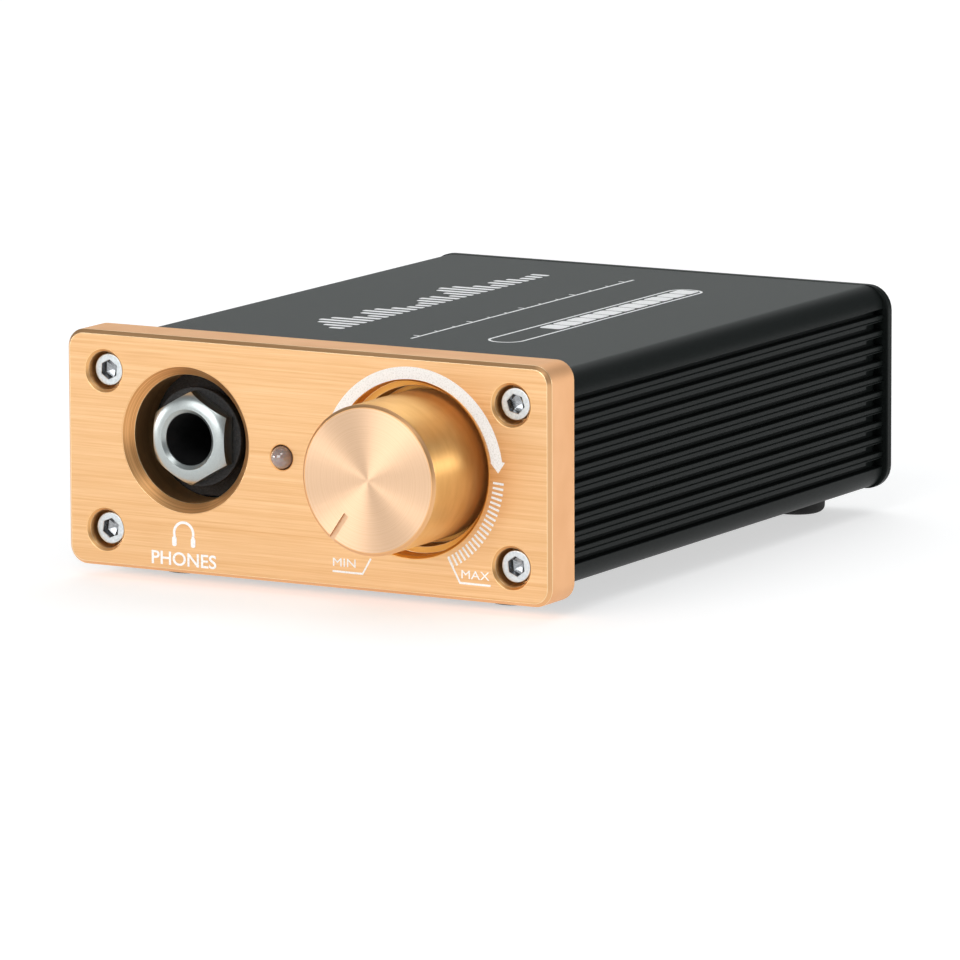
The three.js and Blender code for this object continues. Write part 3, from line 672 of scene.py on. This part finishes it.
def ribbed_outline(low, high, relief):
    """The tube's section, up its right side and down its left one. relief widens each groove
    upwards."""
    edge = high.x
    centre = (low.z + high.z) / 2
    right = []
    for i in range(GROOVES):
        groove = centre + (i - (GROOVES - 1) / 2) * GROOVE_PITCH
        bottom = groove - GROOVE_OPEN / 2
        top = groove + GROOVE_OPEN / 2 + relief
        right += [(edge, bottom, 0.08), (edge - GROOVE_DEEP, bottom, 0.08),
                  (edge - GROOVE_DEEP, top, 0.08), (edge, top, 0.08)]
        if i < GROOVES - 1:
            line = groove + GROOVE_PITCH / 2
            right += [(edge, line - NOTCH), (edge - NOTCH_DEEP, line), (edge, line + NOTCH)]
    inner, bottom, top = edge - TUBE_CORNER, low.z + TUBE_CORNER, high.z - TUBE_CORNER
    path = rounded([(edge, bottom), *right, (edge, top)], steps=3)[1:-1]

    def quarter(x, z, start):
        return arc(x, z, TUBE_CORNER, start, start + 90, 12)

    return (path + quarter(inner, top, 0) + quarter(-inner, top, 90) + mirrored(path)
            + quarter(-inner, bottom, 180) + quarter(inner, bottom, 270))


def hollow_outline(low, high):
    """The tube's inside, with two board rails a side and a screw boss in each corner."""
    side = high.x - WALL_SIDE
    floor = low.z + WALL_TOP
    roof = high.z - WALL_TOP
    lower = middle("front_screw_lower_right")
    upper = middle("front_screw_upper_right")

    def boss(place, wall_z, rising):
        reach_x = side - place.x
        reach_z = wall_z - place.z
        on_wall = math.degrees(math.acos(reach_x / BOSS))
        on_floor = math.degrees(math.asin(abs(reach_z) / BOSS))
        if rising:
            return arc(place.x, place.z, BOSS, 180 + on_floor, on_wall, 16)
        return arc(place.x, place.z, BOSS, -on_wall, -180 - on_floor, 16)

    board_top = span("circuit_board")[1].z
    low_top = board_top - BOARD_THICK - 0.05
    high_bottom = board_top + 0.1
    tip = side - RAIL
    low_bottom, high_top = low_top - RAIL_THICK, high_bottom + RAIL_THICK
    rails = [(side, low_bottom), (tip, low_bottom), (tip, low_top), (side, low_top),
             (side, high_bottom), (tip, high_bottom), (tip, high_top), (side, high_top)]
    half = boss(lower, floor, True) + [Vector(point) for point in rails] + boss(upper, roof, False)
    return half + mirrored(half)


def case_tube():
    low, high = span("case_tube")[:2]
    shape = Shape()
    plain = ribbed_outline(low, high, 0)
    relieved = ribbed_outline(low, high, RIB_RELIEF)
    step = high.y - RIB_RELIEF_LENGTH
    outer = [shape.level(plain, low.y), shape.level(plain, step),
             shape.level(relieved, step + 0.02), shape.level(relieved, high.y)]
    shape.loft(outer)
    hollow = hollow_outline(low, high)
    inner = [shape.level(hollow, low.y), shape.level(hollow, high.y)]
    shape.loft(inner)
    taps = []
    for corner in CORNERS:
        screw = middle(f"front_screw_{corner}")
        taps.append(shape.turn([(TAPPED, low.y), (TAPPED, high.y)], screw.x, screw.z, 24))
    shape.fill(outer[0], inner[0], *[tap[0] for tap in taps])
    shape.fill(outer[-1], inner[-1], *[tap[-1] for tap in taps])
    shape.piece("case_tube_ribbed", "case_tube", [BLACK_CASE])


# ---- screws and feet

def cap_screw(name, node, turn, key_turn):
    """A socket cap screw with a knurled head, drawn with its top at y = 0. turn is 1 on the
    back, and key_turn is how far its hexagon has turned."""
    turns = round_turn(144)
    shape = Shape()

    def circle(radius, y):
        return shape.level(around([radius] * len(turns), turns), y)

    def knurled(y):
        return shape.level(around([HEAD - 0.035 * (1 - math.cos(t * 36)) for t in turns], turns), y)

    def hexagon(share, y):
        reach = [hexagon_reach(HEX_KEY * share, t - key_turn) for t in turns]
        return shape.level(around(reach, turns), y)

    # the hex socket takes the darker steel, painted shade
    shape.finish = 1
    tip = shape.ring([Vector((0, HEX_DEEP + 0.45, 0))])
    socket = [tip, hexagon(0.82, HEX_DEEP + 0.1), hexagon(1, HEX_DEEP), hexagon(1, 0.07),
              hexagon(1.05, 0)]
    edge = rounded([(1.7, 0), (HEAD - 0.12, 0, 0.1), (HEAD - 0.03, 0.16)])
    rim = [circle(radius, y) for radius, y in edge]
    barrel = [knurled(0.3), knurled(HEAD_HIGH - 0.15), circle(HEAD - 0.15, HEAD_HIGH)]
    end = HEAD_HIGH + SHANK_LONG
    shank = [circle(SHANK, HEAD_HIGH), circle(SHANK, end - 0.4), circle(SHANK - 0.4, end)]
    point = shape.ring([Vector((0, end, 0))])
    shape.loft(socket[:-1])
    shape.finish = 0
    shape.loft([*socket[-2:], *rim, *barrel, *shank, point])
    low, high, place = span(node)
    top = high.y if turn else low.y
    facing = Matrix.Rotation(math.pi * turn, 4, "Z")
    shape.moved(Matrix.Translation((place.x, top, place.z)) @ facing)
    shape.piece(name, node, [SCREW_METAL, SCREW_SOCKET_SHADE])


def screws():
    for corner, degrees in zip(CORNERS, (4, -17, 8, -6)):
        key_turn = math.radians(degrees)
        cap_screw(f"front_cap_screw_{corner}", f"front_screw_{corner}", 0, key_turn)
        cap_screw(f"rear_cap_screw_{corner}", f"rear_screw_{corner}", 1, -2 * key_turn)


def feet():
    upright = Matrix.Rotation(math.pi / 2, 4, "X")
    for row in ("front", "rear"):
        for hand in ("left", "right"):
            node = f"foot_{row}_{hand}"
            low, high, place = span(node)
            radius = (high.x - low.x) / 2
            height = high.z - low.z
            path = [(0, 0), (2.2, 0, 0.3), (2.5, 0.12, 0.3), (radius - 0.12, 0.12, 0.95),
                    (radius, height - 0.3, 0.1), (radius - 0.1, height), (0, height)]
            shape = Shape()
            shape.turn(rounded(path, steps=6), 0, 0)
            shape.moved(Matrix.Translation((place.x, place.y, low.z)) @ upright)
            shape.piece(f"rubber_foot_{row}_{hand}", node, [RUBBER])


# ---- headphone socket

def jack_nut():
    low, high, place = span("jack_nut")
    front, back = low.y, high.y
    turns = round_turn(240)
    shape = Shape()

    def circle(radius, y):
        return shape.level(around([radius] * len(turns), turns, place.x, place.z), y)

    def dome(radius):
        return front + 0.02 + 0.15 * max(radius - 3.9, 0) ** 2 + 0.25 * max(radius - 5.1, 0) ** 2

    def hexed(share, drop=0.0):
        """A ring that goes from a circle at 0 out to the hexagon at 1, on the domed face."""
        radii = [NUT_ROUND + share * (hexagon_reach(NUT_FLATS, t) - NUT_ROUND) for t in turns]
        spots = zip(radii, around(radii, turns, place.x, place.z))
        return shape.ring([Vector((x, dome(radius) + drop, z)) for radius, (x, z) in spots])

    def hex_level(shrink, y):
        radii = [hexagon_reach(NUT_FLATS - shrink, t) for t in turns]
        return shape.level(around(radii, turns, place.x, place.z), y)

    mouth = rounded([(PLUG, front + 0.75), (PLUG, front + 0.45, 0.08),
                     (PLUG + 0.46, front + 0.08, 0.05), (PLUG + 0.53, front + 0.01, 0.05),
                     (PLUG + 0.6, front + 0.03)])
    rings = [circle(BUSH_THREAD + 0.08, back), circle(BUSH_THREAD + 0.08, front + 0.75)]
    rings += [circle(radius, y) for radius, y in mouth]
    rings += [circle(radius, dome(radius)) for radius in (4.1, 4.35, 4.6, 4.85, 5.1)]
    rings += [hexed(share) for share in (0, 0.35, 0.7, 0.97)]
    rings += [hexed(1, 0.04), hex_level(0, back - 0.12), hex_level(0.25, back)]
    shape.loft(rings, closed=True)
    shape.piece("jack_nut_domed", "jack_nut", [CHROME], sharp=24)


def collar(name, node, path, place, count, finish):
    """A ring turned about the y axis through a place, standing in for a chassis node."""
    shape = Shape()
    shape.turn(rounded(path, closed=True), place.x, place.z, count, closed=True)
    shape.piece(name, node, [finish])


def headphone_socket():
    jack_nut()
    low, high, place = span("jack_washer")
    radius = (high.x - low.x) / 2
    hole = BUSH_THREAD + 0.15
    washer = [(hole, low.y), (radius, low.y, 0.18), (radius, high.y, 0.1), (hole, high.y)]
    collar("jack_washer_fibre", "jack_washer", washer, place, 128, BLACK_PLASTIC)

    low, high = span("jack_bush")[:2]
    bush = [(PLUG, low.y), (BUSH_THREAD, low.y), (BUSH_THREAD, high.y), (PLUG, high.y)]
    collar("jack_bush_threaded", "jack_bush", bush, place, 96, BLACK_PLASTIC)

    low, high = span("jack_body")[:2]
    face = 6.6
    bore = 3.6
    neck = 5.6
    shape = Shape()
    side = rounded([(0.6, face), (0, face, 0.3), (0, high.y, 0.3), (0.6, high.y)])
    rings = shape.bar(low, high, 0.8, side)
    nose = rounded([(neck, face), (neck, low.y, 0.2), (BUSH_THREAD + 0.08, low.y, 0.1),
                    (BUSH_THREAD + 0.08, 12.1), (bore, 12.1), (bore, high.y - 2), (0, high.y - 2)])
    tube = shape.turn(nose, place.x, place.z, 96)
    shape.fill(rings[0], tube[0])
    shape.fill(rings[-1])
    shape.piece("jack_body_moulded", "jack_body", [BLACK_PLASTIC])


# ---- volume knob and lamp

def volume_knob():
    """Drawn about the y axis with the pointer straight down, then turned to its low stop."""
    low, high = span("volume_knob")[:2]
    face, back = low.y, high.y
    turned = Matrix.Rotation(POINTER_TURN, 4, "Y")
    turned = Matrix.Translation((KNOB_PLACE.x, 0, KNOB_PLACE.z)) @ turned
    path = rounded([(KNOB - KNOB_CHAMFER - 0.1, face), (KNOB - KNOB_CHAMFER, face, EDGE),
                    (KNOB, face + KNOB_CHAMFER, EDGE), (KNOB, back, 0.3),
                    (KNOB_WALL + 0.4, back, 0.1), (KNOB_WALL, back - 0.4), (KNOB_WALL, KNOB_HOLLOW),
                    (KNOB_BORE, KNOB_HOLLOW), (KNOB_BORE, KNOB_BORE_END), (0, KNOB_BORE_END)])
    shape = Shape()
    dial = [(radius, face) for radius in (0, 1.5, 3.5, 5.5, 7.5, KNOB - KNOB_CHAMFER - 0.1)]
    rings = shape.turn(dial, 0, 0, 192)
    # the knob's chamfer takes the darker gold, painted shade
    bands = [2 if point.y < face + KNOB_CHAMFER - 0.01 else 1 for point in path[:-1]]
    sides = shape.turn([(point.x, point.y) for point in path], 0, 0, 192, bands=bands)
    shape.finish = 0
    shape.join(rings[-1], sides[0])
    shape.moved(turned)
    knob = shape.piece("volume_knob_turned", "volume_knob", [GOLD_SPUN, GOLD_KNOB, GOLD_RIM_SHADE],
                       "volume")
    with editing(knob.data) as tool:
        bmesh.ops.remove_doubles(tool, verts=tool.verts, dist=WELD)

    half, edge, front, floor = 0.4, 0.02, face - 1, face + 0.35
    low, high = Vector((-half, front, -KNOB - 1)), Vector((half, floor, -5.6))
    side = rounded([(3 * edge, front), (0, front, edge), (0, floor, edge), (3 * edge, floor)])
    slot = Shape()
    for ring in slot.bar(low, high, 0.05, side)[::len(side) - 1]:
        slot.fill(ring)
    # the slot's walls take the darker tan, painted shade
    cut(knob, slot.moved(turned), GOLD_SLOT_SHADE)

    drill = Shape()
    drill.turn([(0, -KNOB - 1), (1.6, -KNOB - 1), (1.6, -2), (0, -2)], 0, 0, 40)
    sideways = Matrix.Translation((0, -2, 0)) @ Matrix.Rotation(math.pi / 2, 4, "X")
    # the drilled hole's walls take the darker tan, painted shade
    cut(knob, drill.moved(turned @ sideways), GOLD_SLOT_SHADE)


def lamp():
    low, high, place = span("led_lens")
    path = [(0, low.y)]
    for step in range(1, 13):
        turn = math.pi / 2 * step / 12
        path.append((LAMP * math.sin(turn), low.y + LAMP * (1 - math.cos(turn))))
    path += [(LAMP, LAMP_RIM_Y), (LAMP_RIM, LAMP_RIM_Y), (LAMP_RIM, high.y), (0, high.y)]
    shape = Shape()
    shape.turn(path, place.x, place.z, 64)
    shape.piece("lamp_dome", "led_lens", [LENS])


# ---- rear connectors

def phono_sockets():
    plate_y = span("rear_panel")[1].y
    for hand, colour in (("left", WHITE_PLASTIC), ("right", RED_PLASTIC)):
        node = f"phono_shell_{hand}"
        low, high, place = span(node)
        outer = (high.x - low.x) / 2
        ring = [(PHONO_INNER, low.y), (outer, low.y), (outer, plate_y + 1.2),
                (outer - 0.25, plate_y + 1.5), (outer - 0.25, plate_y + 1.9), (outer, plate_y + 2.2),
                (outer, high.y, 0.3), (PHONO_INNER, high.y, 0.25)]
        collar(f"phono_{hand}_shell", node, ring, place, 96, CHROME)

        node = f"phono_insulator_{hand}"
        low, high = span(node)[:2]
        outer = PHONO_INNER - 0.1
        ring = [(1.95, low.y), (outer, low.y), (outer, high.y, 0.15), (2.5, high.y, 0.1),
                (2.3, high.y - 0.5, 0.1), (1.95, high.y - 0.5)]
        collar(f"phono_{hand}_insert", node, ring, place, 72, colour)

        node = f"phono_contact_{hand}"
        low, high = span(node)[:2]
        end = high.y - 0.4
        ring = [(1.6, low.y), (1.85, low.y), (1.85, end, 0.1), (1.6, end, 0.1)]
        collar(f"phono_{hand}_contact", node, ring, place, 48, BRASS)


def power_socket():
    low, high = span("power_socket_body")[:2]
    _, pin_high, place = span("power_socket_pin")
    nose, hole, hole_end = 3.9, 2.85, 86
    pin, pin_start = 1.05, 83.2
    face = span("rear_panel")[0].y - 0.1
    shape = Shape()
    side = rounded([(0.6, low.y), (0, low.y, 0.3), (0, face, 0.1), (0.6, face)])
    rings = shape.bar(low, high, 0.6, side)
    path = rounded([(nose, face), (nose, high.y, 0.25), (hole, high.y, 0.3), (hole, hole_end),
                    (0, hole_end)])
    tube = shape.turn(path, place.x, place.z, 80)
    shape.fill(rings[-1], tube[0])
    shape.fill(rings[0])
    shape.piece("power_socket_moulded", "power_socket_body", [BLACK_PLASTIC])
    path = rounded([(0, pin_start), (pin, pin_start), (pin, pin_high.y, 0.45), (0, pin_high.y)])
    shape = Shape()
    shape.turn(path, place.x, place.z, 48)
    shape.piece("power_socket_centre_pin", "power_socket_pin", [TINNED])


def threaded(outer, y0, y1, pitch, depth):
    """A profile with the crests and roots of a fine thread between two depths."""
    points = []
    for i in range(int((y1 - y0) / pitch)):
        points += [(outer, y0 + i * pitch), (outer - depth, y0 + (i + 0.5) * pitch)]
    return points


def power_switch():
    low, high, place = span("switch_bushing")
    plate_y = span("rear_panel")[1].y
    bore = 2.2
    outer = 3.0
    path = [(bore, low.y), (outer, low.y), *threaded(outer, plate_y, high.y - 0.3, 0.4, 0.16),
            (outer - 0.25, high.y - 0.05), (bore + 0.2, high.y), (bore, high.y - 0.25)]
    collar("switch_bushing_threaded", "switch_bushing", path, place, 64, CHROME)

    low, high = span("switch_nut")[:2]
    turns = round_turn(144)
    count = len(turns)
    inner = outer + 0.08

    def ring(radii, ys):
        spots = zip(around(radii, turns, place.x, place.z), ys)
        return shape.ring([Vector((x, y, z)) for (x, z), y in spots])

    shape = Shape()
    reach = [hexagon_reach(SWITCH_FLATS, t) for t in turns]
    rings = [ring([inner] * count, [low.y] * count), ring(reach, [low.y] * count),
             ring(reach, [high.y - 0.5 * max(r - 3.95, 0) for r in reach])]
    for radius, y in ((3.9, high.y), (inner + 0.2, high.y), (inner, high.y - 0.2)):
        rings.append(ring([radius] * count, [y] * count))
    shape.loft(rings, closed=True)
    shape.piece("switch_nut_hexagon", "switch_nut", [CHROME])

    turns = [math.pi * k / 20 for k in range(1, 17)]
    ball = [(0, -LEVER_BALL)]
    ball += [(LEVER_BALL * math.sin(t), -LEVER_BALL * math.cos(t)) for t in turns]
    bat = rounded([ball[-1], (0.95, 1.8, 0.5), (1.05, 4.5, 2), (1.36, 6.7, 0.9),
                   (1.1, LEVER, 0.8), (0, LEVER)])
    shape = Shape()
    shape.turn(ball[:-1] + bat, 0, 0, 48)
    joint = next(joint for joint in frame["joints"] if joint["name"] == "power_switch")
    pivot = (Vector(joint["pos_m"]) - ORIGIN) / MM
    shape.moved(Matrix.Translation(pivot) @ Matrix.Rotation(LEVER_LEAN, 4, "X"))
    shape.piece("switch_bat_lever", "switch_lever", [CHROME], "power_lever")


# ---- printing

def lettering(name, words, low, high, stand, weight=0.0):
    """Plain lettering, fitted into a box of (across, up) and set on the object by a matrix."""
    curve = bpy.data.curves.new(name, "FONT")
    curve.body = words
    curve.extrude = 0.01
    curve.offset = weight
    curve.resolution_u = 6
    text = linked(name, curve)
    bpy.context.view_layer.update()
    depsgraph = bpy.context.evaluated_depsgraph_get()
    mesh = bpy.data.meshes.new_from_object(text.evaluated_get(depsgraph))
    bpy.data.objects.remove(text)
    across = [vertex.co.x for vertex in mesh.vertices]
    up = [vertex.co.y for vertex in mesh.vertices]
    scale_x = (high[0] - low[0]) / (max(across) - min(across))
    scale_y = (high[1] - low[1]) / (max(up) - min(up))
    for vertex in mesh.vertices:
        x = low[0] + (vertex.co.x - min(across)) * scale_x
        y = low[1] + (vertex.co.y - min(up)) * scale_y
        vertex.co = ORIGIN + MM * (stand @ Vector((x, y, vertex.co.z)))
    mesh.materials.clear()
    mesh.materials.append(INK)
    install(name, mesh)
    mesh.polygons.foreach_set("use_smooth", [False] * len(mesh.polygons))


def stroke(width, *places):
    """The outline of a line of a given width through (x, z) places."""
    points = [Vector(place) for place in places]
    left, right = [], []
    for i, point in enumerate(points):
        before = points[max(i - 1, 0)]
        after = points[min(i + 1, len(points) - 1)]
        ahead = (after - before).normalized()
        side = Vector((-ahead.y, ahead.x))
        if 0 < i < len(points) - 1:
            bend = (point - before).normalized()
            side = side / max(side.dot(Vector((-bend.y, bend.x))), 0.3)
        left.append(point + side * width / 2)
        right.append(point - side * width / 2)
    return left + right[::-1]


def spoke(degrees):
    """A direction in the x-z plane, in degrees from +x towards +z."""
    return Vector((math.cos(math.radians(degrees)), math.sin(math.radians(degrees))))


def volume_scale(ink):
    """An arrow that widens clockwise around the knob, and the ticks after its head."""
    knob = Vector((KNOB_PLACE.x, KNOB_PLACE.z))
    centre = knob + Vector((0.34, -0.19))
    start, end, steps = 215, 9, 96
    middle_radius, half_width = 12.55, 0.8
    out_arc, in_arc = [], []
    for step in range(steps + 1):
        across = spoke(start + (end - start) * step / steps)
        half = half_width * min(1.0, 0.25 + step / steps * 3)
        out_arc.append(centre + across * (middle_radius + half))
        in_arc.append(centre + across * (middle_radius - half))
    head = [Vector((29.4, 18.3)), Vector((28.43, 16.85)), Vector((27.24, 18.2))]
    ink.sheet(out_arc + head + in_arc[::-1])
    for i in range(21):
        across = spoke(-4 - i * 2.93)
        ink.sheet(stroke(0.3, knob + across * 12.25, knob + across * 13.8))


def headphone_sign(ink):
    """An arch with a cup at each end."""
    x, z = -18.4, 5.25
    ink.sheet(stroke(0.36, *arc(x, z, 1.45, 200, -20, 32)))
    for cup in (x - 1.42, x + 1.42):
        low, high = Vector((cup - 0.34, 0, z - 1.75)), Vector((cup + 0.34, 0, z - 0.45))
        ink.sheet(rounded_box(low, high, 0.28, steps=5), front=INK_RAISED)


def front_print():
    ink = Shape()
    volume_scale(ink)
    for line in (((21.1, 5.4), (22.79, 2.31), (27.27, 2.29)),
                 ((3.98, 2.26), (8.44, 2.24), (9.66, 4.33))):
        ink.sheet(stroke(0.26, *line), front=INK_RAISED)
    headphone_sign(ink)
    ink.piece("front_print", None, [INK])

    facing = Matrix.Translation((0, INK_LETTER, 0)) @ Matrix.Rotation(math.pi / 2, 4, "X")
    lettering("word_min", "MIN", (4.04, 2.94), (7.4, 4.0), facing)
    lettering("word_max", "MAX", (23.0, 2.92), (27.1, 4.0), facing)
    lettering("word_phones", "PHONES", (-23.3, 0.95), (-13.5, 2.75), facing, 0.014)


def top_print():
    """A plain row of level bars, a scale line and a pill, read from the right-hand side."""
    ink = Shape()
    bars, bar_pitch, bar_foot = 30, 1.9, 10
    for i in range(bars):
        along = 27 + i * bar_pitch
        height = 2.2 + 5.2 * abs(math.sin(i * 0.55) * math.sin(i * 0.21 + 0.6))
        low, high = Vector((along - 0.5, 0, bar_foot)), Vector((along + 0.5, 0, bar_foot + height))
        ink.sheet(rounded_box(low, high, 0.3, steps=4))
    line = -2.2
    ink.sheet(stroke(0.35, (23.5, line), (84, line)))
    for i in range(13):
        along = 26 + i * 4.65
        reach = 1.1 if i % 3 == 0 else 0.6
        ink.sheet(stroke(0.25, (along, line), (along, line + reach)))
    pill_low, pill_high, pill_end = Vector((26, 0, -16.3)), Vector((79.5, 0, -11.2)), 2.5
    ink.sheet(rounded_box(pill_low, pill_high, pill_end, steps=12),
              rounded_box(pill_low, pill_high, pill_end, 0.35, steps=12))
    dashes, dash_pitch, dash, gap = 11, 3.58, 3.25, 0.95
    for i in range(dashes):
        low = Vector((39.6 + i * dash_pitch, 0, pill_low.z + gap))
        high = Vector((low.x + dash, 0, pill_high.z - gap))
        ink.sheet(rounded_box(low, high, 0.6, steps=6))
    top = span("case_tube")[1].z
    ink.moved(Matrix(((0, 0, -1, 0), (1, 0, 0, 0), (0, -1, 0, top), (0, 0, 0, 1))))
    ink.piece("top_print", None, [TOP_INK])


def rear_print():
    """Plain channel letters and switch marks beside the rear connectors."""
    back = span("rear_panel")[1].y
    away = Matrix.Rotation(math.pi, 4, "Z") @ Matrix.Rotation(math.pi / 2, 4, "X")
    away = Matrix.Translation((0, back - INK_LETTER, 0)) @ away
    for name, words, node, half, bottom, height in (
            ("letter_left", "L", "phono_shell_left", 0.8, 21.4, 2.2),
            ("letter_right", "R", "phono_shell_right", 0.9, 21.4, 2.2),
            ("mark_on", "I", "switch_bushing", 0.15, 19.9, 2),
            ("mark_off", "O", "switch_bushing", 0.9, 7.6, 2)):
        across = -middle(node).x
        lettering(name, words, (across - half, bottom), (across + half, bottom + height), away)


# ---- camera, light and floor

VIEW_AZIMUTH = math.radians(29.615)
VIEW_ELEVATION = math.radians(9.525)
VIEW_ROLL = math.radians(-0.222)
VIEW_DISTANCE = 1.0972
VIEW_LEFT = 0.02235
VIEW_BELOW = 0.01357
LENS_MM = 320.04


def camera():
    """The panel's bottom middle lies left of and below the middle of the picture."""
    turn, fall = VIEW_AZIMUTH, VIEW_ELEVATION
    level = Vector((math.cos(turn), math.sin(turn), 0))
    flat = math.cos(fall)
    ahead = Vector((-math.sin(turn) * flat, math.cos(turn) * flat, -math.sin(fall)))
    upward = level.cross(ahead)
    right = level * math.cos(VIEW_ROLL) + upward * math.sin(VIEW_ROLL)
    up = upward * math.cos(VIEW_ROLL) - level * math.sin(VIEW_ROLL)
    place = ORIGIN + right * VIEW_LEFT + up * VIEW_BELOW - ahead * VIEW_DISTANCE
    data = bpy.data.cameras.new("camera")
    data.lens = LENS_MM
    data.sensor_width = 36
    data.clip_start = 0.01
    data.clip_end = 20
    viewer = linked("camera", data)
    basis = Matrix((right, up, -ahead)).transposed().to_4x4()
    viewer.matrix_world = Matrix.Translation(place) @ basis
    bpy.context.scene.camera = viewer


def softbox(name, place, width, height, power, target=(0, 0, 0.02), warmth=(1, 1, 1)):
    data = bpy.data.lights.new(name, "AREA")
    data.shape = "RECTANGLE"
    data.size = width
    data.size_y = height
    data.energy = power
    data.color = warmth
    light = linked(name, data)
    light.location = place
    light.rotation_euler = (Vector(target) - Vector(place)).to_track_quat("-Z", "Y").to_euler()


def studio():
    world = bpy.data.worlds.new("studio")
    bpy.context.scene.world = world
    world.use_nodes = True
    background = world.node_tree.nodes["Background"]
    background.inputs["Color"].default_value = (0.93, 0.97, 1.0, 1)
    background.inputs["Strength"].default_value = 0.3
    softbox("key_front", (-0.22, -1.2, 0.34), 0.8, 0.5, 5.1)
    softbox("front_top", (0.3, -0.95, 0.95), 0.5, 0.4, 2.6)
    softbox("left_low", (-1.1, -0.55, 0.1), 0.5, 0.16, 2.5)
    softbox("right", (1.15, 0.35, 0.27), 0.3, 0.28, 4.6)
    softbox("back_left", (-1.0, 1.75, 0.35), 1.6, 0.5, 2.25, (0, 0, 0.03), (0.94, 1, 0.97))
    softbox("overhead", (-0.3, 0.9, 1.5), 1.6, 2.0, 12.5, (0, 0.6, 0))
    view = bpy.context.scene.view_settings
    view.view_transform = "Standard"
    view.look = "None"


def floor():
    half = 4.0
    mesh = bpy.data.meshes.new("floor")
    corners = [(-half, -half, 0), (half, -half, 0), (half, half, 0), (-half, half, 0)]
    mesh.from_pydata(corners, [], [(0, 1, 2, 3)])
    paint = Paint("floor_paper", Emission_Color=(1, 1, 1, 1), Emission_Strength=0.56)
    cloud = paint.noise((0.004, 0.004, 0.004), 2)
    paint.color(cloud, (0.6, 0.6, 0.6), (0.62, 0.62, 0.62))
    paint.roughness(cloud, 0.8, 0.9)
    mesh.materials.append(paint.material)
    linked("floor", mesh)


# ---- assembly

camera()
paint_frame()
case_tube()
front_panel()
rear_panel()
screws()
feet()
headphone_socket()
volume_knob()
lamp()
phono_sockets()
power_socket()
power_switch()
front_print()
top_print()
rear_print()
studio()
floor()
